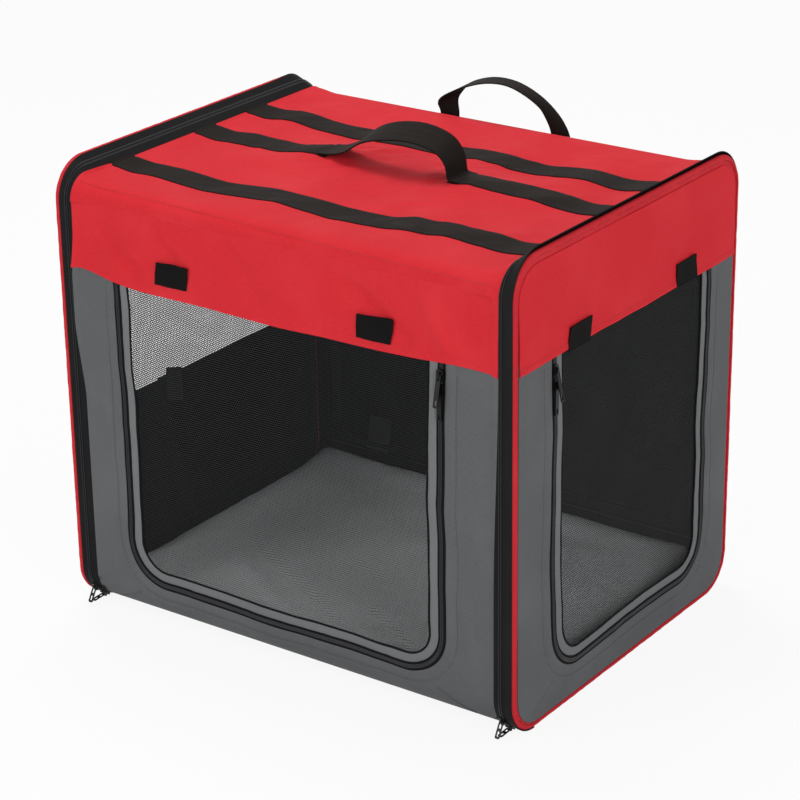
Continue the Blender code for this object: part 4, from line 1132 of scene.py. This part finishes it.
def strip_along(name, wall, line, edges, profile, cells, outward, wavy=0.0, seed=0.0):
    long = length_of(line)
    inner, outer = edges

    def lie(u, v):
        point, heading = follow(line, long * u)
        reach = inner + (outer - inner) * v
        if wavy:
            reach += wavy * ripple(long * u / 0.06, seed, 0.0)
        place = point + sideways(heading) * reach
        return wall(place.x, place.y, profile(long * u, v))

    return cloth(name, cells, lambda u, v: (long * u, (outer - inner) * v), lie, outward)


# %% [markdown]
# ## Door zips
#
# Each door zip is two tapes with a row of nylon coil between them. The outer tape and its half of
# the coil stay with the wall, the inner ones go with the door. The coil's teeth are drawn one
# every 2.6 mm, which is coarser than the real ones, so that they show.

# %% Door zips
TOOTH_PITCH = 2.6 * MM


def coil_tooth(distance, v, shift):
    tooth = 0.5 + 0.5 * cos(2 * pi * (distance / TOOTH_PITCH + shift))
    return 0.5 * MM + sin(pi * (0.15 + 0.7 * v)) * (0.7 + 0.5 * tooth) * MM


def tape_profile(distance, v):
    return 0.3 * MM + 0.2 * MM * sin(pi * v)


def zip_pieces(prefix, wall, line, outward, bodies):
    """Returns the tape and the coil that move with the door."""
    tapes, coils = [], []
    for label, edges in (("fixed", (0.2 * MM, 6.0 * MM)), ("moving", (-5.2 * MM, -0.2 * MM))):
        name = f"{prefix}_tape_{label}"
        build = strip_along(name, wall, line, edges, tape_profile, (240, 4), outward)
        tapes.append(finish(name, build, [zip_tape], bodies[label],
                            [f"{prefix}_{label}"], 0.6 * MM))
    for label, edges, shift in (("fixed", (0.1 * MM, 2.2 * MM), 0.0),
                                ("moving", (-2.2 * MM, -0.1 * MM), 0.5)):
        name = f"{prefix}_coil_{label}"
        build = strip_along(name, wall, line, edges, lambda d, v: coil_tooth(d, v, shift),
                            (1500, 3), outward)
        coils.append(finish(name, build, [nylon_coil], bodies[label]))
    return [tapes[-1], coils[-1]]


# %% [markdown]
# ## Doors
#
# Inside the zip's tape runs a light grey binding that holds the netting's edge, and the netting's
# own folded edge shows as a wavy black line. The netting fills the rest, with a few soft folds in
# the front door, which hangs loosely.

# %% Doors


def binding_profile(distance, v):
    ridge = sin(pi * v) ** 0.5 if 0 < v < 1 else 0.0
    return 0.3 * MM + 1.1 * MM * ridge + 0.25 * MM * ripple(distance / 0.012, 4.0, 0.0)


def edge_profile(distance, v):
    return 0.5 * MM + 0.5 * MM * sin(pi * v)


def door(prefix, wall, axis, line, outward, wall_body, net_look, folds):
    body = prefix + "_door"
    netting_part = body + "_netting"
    moving = zip_pieces(prefix + "_zip", wall, line, outward,
                        {"fixed": wall_body, "moving": body})
    name = prefix + "_binding"
    build = strip_along(name, wall, line, (-EDGE_INNER - 0.4 * MM, -4.9 * MM), binding_profile,
                        (260, 8), outward)
    edge = finish(name, build, [binding], body, [body + "_edge"], 0.8 * MM)
    name = prefix + "_netting_edge"
    build = strip_along(name, wall, line, (-EDGE_INNER - 2.8 * MM, -EDGE_INNER), edge_profile,
                        (260, 4), outward, wavy=1.6 * MM, seed=2.0)
    selvedge = finish(name, build, [zip_tape], body, (), 0.6 * MM)
    name = prefix + "_netting"
    span = (low(netting_part)[axis] - MM, high(netting_part)[axis] + MM)
    build = rounded_panel(name, wall, span, (low(netting_part).z - MM, DOOR_TOP),
                          bend=DOOR_BEND - EDGE_INNER, at_top=False, cells=(150, 130),
                          outward=outward,
                          proud=lambda across, up: fold_lift(folds, across, up) - 0.6 * MM)
    net = finish(name, build, [net_look], body, [netting_part])
    declare(net)


door("front", front_wall, 0, front_line, (0, -1, 0), "front_wall", netting, NETTING_FOLDS)
door("side", right_wall, 1, side_line, (1, 0, 0), "right_end", slanted_netting, ())

# %% [markdown]
# ## The left end's window
#
# The left end has no door: netting fills its window, sewn straight to the border. Inside, a black
# panel covers the window's lower half, which is why the netting looks black there, and a patch of
# loop tape is sewn askew to that panel.

# %% Left window and its inner panel
low_window, high_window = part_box("left_end_netting")
build = rounded_panel(
    "left_end_window", left_wall, (low_window.y - 6 * MM, high_window.y + 6 * MM),
    (low_window.z - 6 * MM, DOOR_TOP), bend=DOOR_BEND, at_top=False, cells=(90, 80),
    outward=(-1, 0, 0), proud=lambda across, up: -0.9 * MM)
window = finish("left_end_window", build, [window_netting], "left_end",
                ["left_end_netting"])
declare(window)

build = rectangle(
    "left_end_inner_panel", (70, 40), (-158 * MM, 168 * MM), (42 * MM, 223.7 * MM),
    lambda across, up: left_wall(across, up, -2.0 * MM), (1, 0, 0))
inner_panel = finish("left_end_inner_panel", build, [lining], "left_end", (),
                     0.8 * MM)
declare(inner_panel)


def patch_place(u, v):
    across = (-61 + 28 * u) * MM
    up = (194 - 10 * u + (42 + u) * v) * MM
    return left_wall(across, up, -3.6 * MM)


build = cloth("left_end_inner_patch", (12, 16), lambda u, v: (28 * MM * u, 43 * MM * v),
              patch_place, (1, 0, 0))
inner_patch = finish("left_end_inner_patch", build, [soft_loop], "left_end", (),
                     1.2 * MM)
declare(inner_patch)

# %% [markdown]
# ## The left end's pocket
#
# A flat pocket is sewn over the lower half of the window from outside. Its sides and its foot lie
# on the border, whose own edge ends a little above the pocket's foot. In between the cloth stands
# a few millimetres proud, so that a hand can get in at the top.

# %% Pocket
low_pocket, high_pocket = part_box("left_end_pocket")
POCKET_SPAN = (low_pocket.y, high_pocket.y)
POCKET_LEVELS = (low_pocket.z - 20 * MM, high_pocket.z)


def pocket_place(across, up):
    aside = min(across - POCKET_SPAN[0], POCKET_SPAN[1] - across)
    full = rise(aside, 0.0, 30 * MM) * rise(up, POCKET_LEVELS[0], POCKET_LEVELS[0] + 40 * MM)
    sag = 1.2 * MM * ripple(across / 0.05, up / 0.05, 12.0)
    return Vector((-END_X - 3.0 * MM - (2.6 * MM + sag) * full, across, up))


build = rectangle("pocket_cloth", (80, 40), POCKET_SPAN, POCKET_LEVELS, pocket_place, (-1, 0, 0))
pocket = finish("pocket_cloth", build, [grey_canvas, lining], "left_end",
                ["left_end_pocket"], CANVAS_THICK)
declare(pocket)

# %% [markdown]
# ## The back panel
#
# The back is one grey panel with the black coating inside. The sleeve folds along a line above its
# foot, so a separate strip covers that line outside. It is given the floor's body and the wall's,
# but is attached to neither: its place is baked into its mesh.

# %% Back panel
SLEEVE_SPAN = (-SLEEVE_X, SLEEVE_X)
BACK_LEVELS = (low("back_panel").z, high("back_panel").z + 10 * MM)
STRIP_LEVELS = (37 * MM, 65 * MM)
build = rectangle("back_panel_cloth", (90, 70), SLEEVE_SPAN, BACK_LEVELS, back_wall, (0, 1, 0))
back_panel = finish("back_panel_cloth", build, [grey_canvas, lining], "back_wall",
                    ["back_panel"], CANVAS_THICK)
declare(back_panel)


def strip_place(across, up):
    share = (up - STRIP_LEVELS[0]) / (STRIP_LEVELS[1] - STRIP_LEVELS[0])
    return Vector((across, BACK_Y + 0.4 * MM + 0.5 * MM * sin(pi * share), up))


build = rectangle("back_fold_strip", (90, 14), SLEEVE_SPAN, STRIP_LEVELS, strip_place, (0, 1, 0))
fold_strip = finish("back_fold_strip", build, [grey_canvas, lining],
                    ("base", "back_wall", (0, BACK_Y, 0.0465), (0, BACK_Y, 0.0535)),
                    (), 0.8 * MM)
declare(fold_strip)

# %% [markdown]
# ## The floor
#
# The floor is black, and the grey of the front and back walls turns under its edges, so the foot of
# the crate looks grey from the side. The cloth is one strip that bends up at the front and at the
# back. Each face gets its look by where it lies.

# %% Floor
FLOOR_FLAT = BACK_Y - FOOT_BEND
FOOT_FRONT = FOOT_BEND * pi / 4
FOOT_BACK = FOOT_BEND * pi / 2
FLOOR_LONG = FOOT_FRONT + 2 * FLOOR_FLAT + FOOT_BACK
FLOOR_X = high("floor_skin").x
FLOOR_HALF = FLOOR_X + 4.5 * MM
GREY, BLACK = 0, 2


def floor_place(u, v):
    """Row v of the floor runs from the front foot under the crate to the back fold."""
    past_front = FLOOR_LONG * v - FOOT_FRONT
    past_flat = past_front - 2 * FLOOR_FLAT
    if past_front < 0:
        middle, turn = -FLOOR_FLAT, past_front / FOOT_BEND
    elif past_flat < 0:
        middle, turn = -FLOOR_FLAT + past_front, 0.0
    else:
        middle, turn = FLOOR_FLAT, past_flat / FOOT_BEND
    deep, up = middle + FOOT_BEND * sin(turn), FOOT_BEND - FOOT_BEND * cos(turn)
    drawn_in = rise(abs(deep), FLOOR_FLAT - 8 * MM, FLOOR_FLAT)
    half = FLOOR_HALF - (FLOOR_HALF - SLEEVE_X) * drawn_in
    return Vector((half * (2 * u - 1), deep, up))


build = cloth("floor_cloth", (60, 110), lambda u, v: (2 * FLOOR_X * u, FLOOR_LONG * v),
              floor_place, (0, 0, -1))
for face in build.faces:
    underneath = abs(face.calc_center_median().y) < FLOOR_FLAT + 8 * MM
    face.material_index = BLACK if underneath else GREY
floor_cloth = finish("floor_cloth", build, [grey_canvas, lining, lining, lining], "base",
                     ["floor_skin"], CANVAS_THICK)
declare(floor_cloth)

# %% [markdown]
# ## Zip bands
#
# A black band with a zip in its middle joins each end to the sleeve all the way round, except under
# the floor. It slopes, because the end's frame is a little larger than the sleeve. Two matched
# outlines are walked together, and the band is stretched between them, with two rows of coil.

# %% Zip bands
TAPE_WIDE = 25 * MM
COIL_WIDE = 2.4 * MM


def band_spot(side, distance, share, proud):
    number, part = walk(outer_outline, distance)
    inner = stand(inner_outline[number], part)[0]
    outer, heading = stand(outer_outline[number], part)
    flat = inner.lerp(outer, share) - sideways(heading) * proud
    return Vector((side * (BAND_X[0] + BAND_WIDE * share), flat.x, flat.y))


def band_place(side, distance, v):
    """The inner edge dives under the sleeve; at the right end the outer edge laps the piping."""
    lap = 0.02 + 0.14 * rise(distance, 0.90, 1.00)
    if side > 0:
        lap = 0.32 - 0.10 * rise(distance, 0.50, 0.58)
    share = (1.06 + lap) * v - 0.06
    level = -CLEAR_OF_BAND * (1 - rise(share, 0.0, 0.2))
    if side > 0:
        level += 0.9 * MM * rise(share, 1.0, 1.1)
    return band_spot(side, distance, share, level)


for side_name, wall, side in ENDS:
    name = side_name + "_band_tape"
    build = cloth(name, (320, 16), lambda u, v: (BAND_LONG * u, TAPE_WIDE * v),
                  lambda u, v: band_place(side, BAND_LONG * u, v), (side, 0, 0.3))
    band = finish(name, build, [zip_tape, lining], side_name,
                  [side_name + "_zip_band"], CANVAS_THICK)
    for label, middle, shift in (("inner", 0.50, 0.0), ("outer", 0.63, 0.5)):
        name = f"{side_name}_band_coil_{label}"
        build = cloth(
            name, (1800, 3), lambda u, v: (BAND_LONG * u, COIL_WIDE * v),
            lambda u, v: band_spot(side, BAND_LONG * u, middle + 0.075 * (v - 0.5),
                                   0.6 * MM + coil_tooth(BAND_LONG * u, v, shift)),
            (side, 0, 0.3))
        finish(name, build, [nylon_coil], side_name)
    declare(band, strip=BAND_LONG)

# %% [markdown]
# ## Piping round the ends
#
# Piping is a strip of cloth cut on the bias, folded round a rod, and sewn into the seam. It shows
# as a round edge with a flat flange inside it. One profile, from the flange round the rod, is
# carried along the end's outline, and small puckers from the sewing run across it. The cloth is
# red outside, but black where it turns in behind the rod, which is what shows from the back.

# %% Piping
piping_line = closed_line(HALF_DEPTH, 0.0, PIPING_TOP, 45 * MM)
PIPING_LONG = length_of(piping_line)
ROD_ROUND = 3.5 * MM
FLANGE = 17 * MM
PIPING_WIDE = FLANGE + 1.6 * pi * ROD_ROUND
PIPING_LOOKS = [red_bias, lining, red_bias, lining, lining, lining]
OUTER_ROLL, INNER_ROLL = 2, 4


def piping_profile(share):
    """Reach inwards from the outline and lift outwards from the end's plane, at a share across."""
    along = share * PIPING_WIDE
    if along < FLANGE - ROD_ROUND:
        return FLANGE - along, -1.3 * MM + groove(along - 10 * MM, 0.5 * MM, 1.5 * MM)
    turn = (along - FLANGE + ROD_ROUND) / ROD_ROUND + 0.9
    return ROD_ROUND + ROD_ROUND * cos(turn), -ROD_ROUND + ROD_ROUND * sin(turn)


def piping_place(side, distance, v):
    point, heading = follow(piping_line, distance)
    reach, lift = piping_profile(v)
    pucker = 0.25 * MM * ripple(distance / 0.008, v * 3, 30.0 + side)
    spot = point + sideways(heading) * (reach - pucker)
    return Vector((side * (END_X + MM + lift + pucker), spot.x, spot.y))


for side_name, wall, side in ENDS:
    name = side_name + "_piping_cloth"
    build = cloth(name, (520, 22), lambda u, v: (PIPING_LONG * u, PIPING_WIDE * v),
                  lambda u, v: piping_place(side, PIPING_LONG * u, v), (side, 0, 0))
    weave = build.loops.layers.uv["weave"]
    for face in build.faces:
        along = face.loops[0][weave].uv.y
        if along > FLANGE - ROD_ROUND:
            on_top = along < FLANGE + 2.65 * ROD_ROUND
            face.material_index = OUTER_ROLL if on_top else INNER_ROLL
    piping = finish(name, build, PIPING_LOOKS, side_name, [side_name + "_piping"],
                    0.6 * MM, rim=1)
    declare(piping, strip=PIPING_LONG)

# %% [markdown]
# ## Tabs
#
# Small patches of hook-and-loop tape hold the rolled-up doors. Each is a stiff little rectangle
# with a nap, sewn at its lower edge, so it stands off slightly at the top. No two sit quite alike:
# each hangs a little lower or higher or leans its own way, and the pocket's tab is cut shorter.

# %% Tabs


def pocket_face(across, up, proud):
    return Vector((-END_X - 5.8 * MM - proud, across + 6 * MM, up))


def tab(part, wall, axis, face, drop, lean=0.0, cut=0.0):
    """A tab hangs `drop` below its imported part, leans sideways, and is `cut` shorter."""
    left, right = low(part)[axis], high(part)[axis]
    bottom, top = low(part).z - drop, high(part).z - drop - cut
    outward = [0, 0, 0]
    outward[1 - axis] = face

    def lie(u, v):
        frayed = ripple(u * 3, v * 3, bottom * 40)
        across = left + (right - left) * u + lean * (v - 0.5) + 0.7 * MM * frayed
        up = bottom + (top - bottom) * v + 0.8 * MM * frayed
        curl = 1.2 * MM * v * v + 0.4 * MM * ripple(u * 2, v * 2, left * 90)
        return wall(across, up, 3.3 * MM + curl)

    name = part + "_tape"
    build = cloth(name, (14, 10), lambda u, v: ((right - left) * u, (top - bottom) * v), lie,
                  outward)
    piece = finish(name, build, [loop_tape], part, [part], 1.3 * MM)
    declare(piece)


tab("front_tab_left", front_wall, 0, -1, drop=-6.5 * MM, lean=4 * MM)
tab("front_tab_right", front_wall, 0, -1, drop=-2.0 * MM, lean=1.5 * MM)
tab("side_tab_front", right_wall, 1, 1, drop=5.5 * MM, lean=1.5 * MM)
tab("side_tab_back", right_wall, 1, 1, drop=2.5 * MM, lean=-3 * MM)
tab("back_tab", back_wall, 0, 1, drop=-8 * MM)
tab("left_end_pocket_tab", pocket_face, 1, -1, drop=9.5 * MM, cut=13 * MM)

# %% [markdown]
# ## The inner tab and the rod channels
#
# Inside, a tab is sewn low on the back wall. The steel loops of the front and back walls lie in
# narrow black channels of lining cloth, closed tubes of cloth that follow the loop.

# %% Inner tab and rod channels
INNER_TAB_WIDE, INNER_TAB_TALL = 32 * MM, 42 * MM
CHANNEL = 4.2 * MM
inner_low = low("back_inner_tab")


def inner_tab_place(u, v):
    return Vector((inner_low.x + 6 * MM + INNER_TAB_WIDE * u,
                   BACK_Y - (2.6 + 8 * (1 - v) ** 2) * MM,
                   inner_low.z - 10 * MM + INNER_TAB_TALL * v))


build = cloth("back_inner_tab_tape", (10, 12),
              lambda u, v: (INNER_TAB_WIDE * u, INNER_TAB_TALL * v), inner_tab_place, (0, -1, 0))
inner_tab = finish("back_inner_tab_tape", build, [soft_loop], "back_wall",
                   ["back_inner_tab"], 1.3 * MM)
declare(inner_tab)


def rod_channel(part, body):
    deep = (low(part).y + high(part).y) / 2
    line = closed_line(high(part).x - 3 * MM, low(part).z + 3 * MM, high(part).z - 3 * MM, 20 * MM)
    long = length_of(line)

    def lie(u, v):
        point, heading = follow(line, long * u)
        reach = CHANNEL + 0.3 * MM * ripple(long * u / 0.01, v * 2, 17.0)
        aside = sideways(heading) * reach * cos(2 * pi * v)
        return Vector((point.x + aside.x, deep + reach * sin(2 * pi * v), point.y + aside.y))

    name = part + "_channel"
    build = cloth(name, (360, 10), lambda u, v: (long * u, 2 * pi * CHANNEL * v), lie, (0, 0, 0))
    bmesh.ops.recalc_face_normals(build, faces=build.faces)
    finish(name, build, [lining], body)
    print(f"{name}: {long:.3f} m long")


rod_channel("front_rod_loop", "front_wall")
rod_channel("back_rod_loop", "back_wall")

# %% [markdown]
# ## The padded mat
#
# The mat is a grey fleece cover over a thin foam sheet. A crisp slab looks hard, so it is inflated
# a little. First a block, drawn smaller to leave room, is bevelled and remeshed evenly. Then
# Blender's cloth solver blows it up for twenty frames without gravity.

# %% Mat, inflated
ROOM_TO_SWELL = Vector((6, 6, 6)) * MM
VOXEL = 6 * MM
SWELLING_FRAMES = 20
mat_low, mat_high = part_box("mat")
build = bmesh.new()
bmesh.ops.create_cube(build, size=1.0)
bmesh.ops.scale(build, vec=(mat_high - mat_low) - ROOM_TO_SWELL, verts=build.verts)
bmesh.ops.translate(build, vec=(mat_low + mat_high) / 2, verts=build.verts)


def climb(edge):
    return abs(edge.verts[0].co.z - edge.verts[1].co.z)


upright = [edge for edge in build.edges if climb(edge) > 5 * MM]
bmesh.ops.bevel(build, geom=upright, offset=8 * MM, segments=4, profile=0.5, affect="EDGES",
                material=-1)
rims = [edge for edge in build.edges
        if climb(edge) < MM and len(edge.link_faces) == 2 and edge.calc_face_angle() > 0.5]
bmesh.ops.bevel(build, geom=rims, offset=6 * MM, segments=3, profile=0.5, affect="EDGES",
                material=-1)
mat = mesh_object("mat_cushion", build)
remesh = mat.modifiers.new("remesh", "REMESH")
remesh.mode = "VOXEL"
remesh.voxel_size = VOXEL
apply_modifiers(mat)
flat_places = [vertex.co.copy() for vertex in mat.data.vertices]
solver = mat.modifiers.new("inflate", "CLOTH")
solver.settings.use_pressure = True
solver.settings.uniform_pressure_force = 4.0
solver.settings.effector_weights.gravity = 0.0
for number in range(1, SWELLING_FRAMES + 1):
    bpy.context.scene.frame_set(number)
apply_modifiers(mat)
bpy.context.scene.frame_set(1)
print("mat points:", len(mat.data.vertices))

# %% [markdown]
# ## Dents in the mat
#
# No point of the inflated mat may move further than a few millimetres. Soft dents, the tufts of
# the fleece and the long creases where it was folded for storage are pressed into its top, and its
# back edge is drawn up a little where it leans against the back wall.

# %% Mat, dented
MAT_FOLDS = (
    (-0.235, -0.060, -0.060, -0.170, 1.6, 12), (-0.200, 0.150, -0.060, 0.090, -1.0, 14),
    (0.060, -0.160, 0.200, -0.060, -1.3, 12), (0.080, 0.110, 0.240, 0.150, 1.0, 14),
)
MOST_MOVE = 5 * MM


def dented(start, move):
    if move.length > MOST_MOVE:
        move = move.normalized() * MOST_MOVE
    place = start + move
    top = rise(start.z, mat_low.z + 8 * MM, mat_high.z - 6 * MM)
    dent = ripple(start.x / 0.09, start.y / 0.08, 3.0)
    tuft = ripple(start.x / 0.02, start.y / 0.02, 6.0)
    place.z += top * (1.6 * MM * dent + 0.6 * MM * tuft + 7.0 * MM * rise(start.y, 0.15, 0.205))
    place.z += top * fold_lift(MAT_FOLDS, start.x, start.y)
    place.z = min(max(place.z, mat_low.z), mat_high.z + 9 * MM)
    place.y += 6 * MM * rise(start.y, 0.17, 0.205)
    place.x -= 2.5 * MM * rise(-start.x, 0.20, 0.27)
    return place


for vertex, start in zip(mat.data.vertices, flat_places):
    vertex.co = dented(start, vertex.co - start)
softer = mat.modifiers.new("softer", "SUBSURF")
softer.levels = softer.render_levels = 1
mat.data.materials.clear()
mat.data.materials.append(fleece)
mat.data.shade_smooth()
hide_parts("mat")
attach(mat, "base")
print("mat's top now at", round(1000 * max(v.co.z for v in mat.data.vertices), 1), "mm")

# %% [markdown]
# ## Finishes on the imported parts
#
# The sliders, pulls, rods and the board already have the right shape, so they keep their meshes and
# only get their finish.

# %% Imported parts
for name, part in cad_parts.items():
    for slot in part.material_slots:
        if "zip_slider" in name or "zip_pull" in name:
            slot.material = black_zinc
        elif "rod" in name:
            slot.material = steel
        elif name == "floor_board":
            slot.material = fibre_board
shown = [name for name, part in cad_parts.items() if not part.hide_render]
print("packed parts still shown:", len(shown), sorted(shown))

# %% [markdown]
# ## Ground and light
#
# The photograph was taken in a white studio: a white ground, large soft lamps and almost no shadow.
# The ground and the world are white only to camera rays and to rays that come back from shiny or
# clear surfaces, so the crate itself is lit at a plain level, at which a colour looks as it was
# written.

# %% Ground and world
PAPER_GLOW = 0.9
DIM_SKY = 0.40


def seen_directly(tree):
    """1 for rays from the camera and off glossy or clear surfaces, 0 for rays that give light."""
    rays = add(tree, "LightPath")
    seen = add(tree, "Math", {"operation": "MAXIMUM"}, {},
               {0: rays.outputs["Is Camera Ray"], 1: rays.outputs["Is Glossy Ray"]})
    clear = add(tree, "Math", {"operation": "MAXIMUM"}, {},
                {0: seen.outputs[0], 1: rays.outputs["Is Transmission Ray"]})
    return clear.outputs[0]


build = bmesh.new()
bmesh.ops.create_grid(build, x_segments=1, y_segments=1, size=20.0)
bmesh.ops.translate(build, vec=(0, 0, -0.6 * MM), verts=build.verts)
ground = mesh_object("ground", build)
paper, tree, shader = start_material(
    "white_studio_paper", Base_Color=linear("#F2F2F2"), Roughness=0.9)
glow = add(tree, "Emission", {}, {"Color": (1, 1, 1, 1), "Strength": 1.0})
share = add(tree, "Math", {"operation": "MULTIPLY"}, {1: PAPER_GLOW}, {0: seen_directly(tree)})
mixed = add(tree, "MixShader", {}, {},
            {0: share.outputs[0], 1: shader.outputs[0], 2: glow.outputs[0]})
tree.links.new(mixed.outputs[0], tree.nodes["Material Output"].inputs["Surface"])
ground.data.materials.append(paper)
ground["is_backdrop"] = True

world = bpy.data.worlds.new("studio")
bpy.context.scene.world = world
world.use_nodes = True
tree = world.node_tree
level = add(tree, "MapRange", {}, {"To Min": DIM_SKY, "To Max": 1.0},
            {"Value": seen_directly(tree)})
tree.links.new(level.outputs[0], tree.nodes["Background"].inputs["Strength"])
tree.nodes["Background"].inputs["Color"].default_value = (1, 1, 1, 1)
print("ground and world:", ground.name, world.name)

# %% [markdown]
# ## Lamps
#
# Three square softboxes light the crate: one above, one for the wide front and one for the end with
# the door. They are large, so their shadows are soft, and each one's power sets how bright the
# wall that faces it comes out.

# %% Lamps
AIM = Vector((0, 0, 0.25))


def softbox(name, place, power, size):
    lamp = bpy.data.lights.new(name, "AREA")
    lamp.energy = power
    lamp.shape = "SQUARE"
    lamp.size = size
    holder = bpy.data.objects.new(name, lamp)
    holder.location = place
    holder.rotation_euler = (AIM - Vector(place)).to_track_quat("-Z", "Y").to_euler()
    bpy.context.scene.collection.objects.link(holder)
    print(f"{name}: {power} W, {size} m wide")


softbox("top_softbox", (-0.9, 0.6, 3.2), power=45, size=1.1)
softbox("front_softbox", (-1.2, -3.7, 1.6), power=57, size=2.4)
softbox("right_softbox", (3.8, -1.4, 1.8), power=59, size=2.0)

# %% [markdown]
# ## The camera
#
# The camera stands where the photograph's camera stood. Its place, its tilt and its long lens were
# found from the corners of the crate, so the picture lies over the photograph. The angles say how
# far it stands round to the right, how far above, and how far it was tipped sideways.

# %% Camera
SENSOR = 36.0
PICTURE_WIDE = 800
FOCAL_PIXELS = 2662
CAMERA_PLACE = (1.6226, -2.2672, 1.4088)
ROUND_BY, ABOVE, TIPPED = radians(35.62), radians(22.72), radians(-0.853)

camera_data = bpy.data.cameras.new("camera")
camera_data.sensor_width = SENSOR
camera_data.lens = SENSOR * FOCAL_PIXELS / PICTURE_WIDE
camera = bpy.data.objects.new("camera", camera_data)
bpy.context.scene.collection.objects.link(camera)
back = Vector((sin(ROUND_BY) * cos(ABOVE), -cos(ROUND_BY) * cos(ABOVE), sin(ABOVE)))
level_right = Vector((cos(ROUND_BY), sin(ROUND_BY), 0.0))
straight_up = back.cross(level_right)
right = cos(TIPPED) * level_right + sin(TIPPED) * straight_up
up = cos(TIPPED) * straight_up - sin(TIPPED) * level_right
turned = Matrix((right, up, back)).transposed().to_4x4()
camera.matrix_world = Matrix.Translation(CAMERA_PLACE) @ turned
bpy.context.scene.camera = camera
bpy.context.scene.view_settings.view_transform = "Standard"
print("camera lens:", round(camera_data.lens, 1), "mm")

# %% Finish
dressed_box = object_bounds()
for label, box in (("packed", packed_box), ("dressed", dressed_box)):
    print(label, [round(1000 * (b - a), 1) for a, b in zip(*box)])
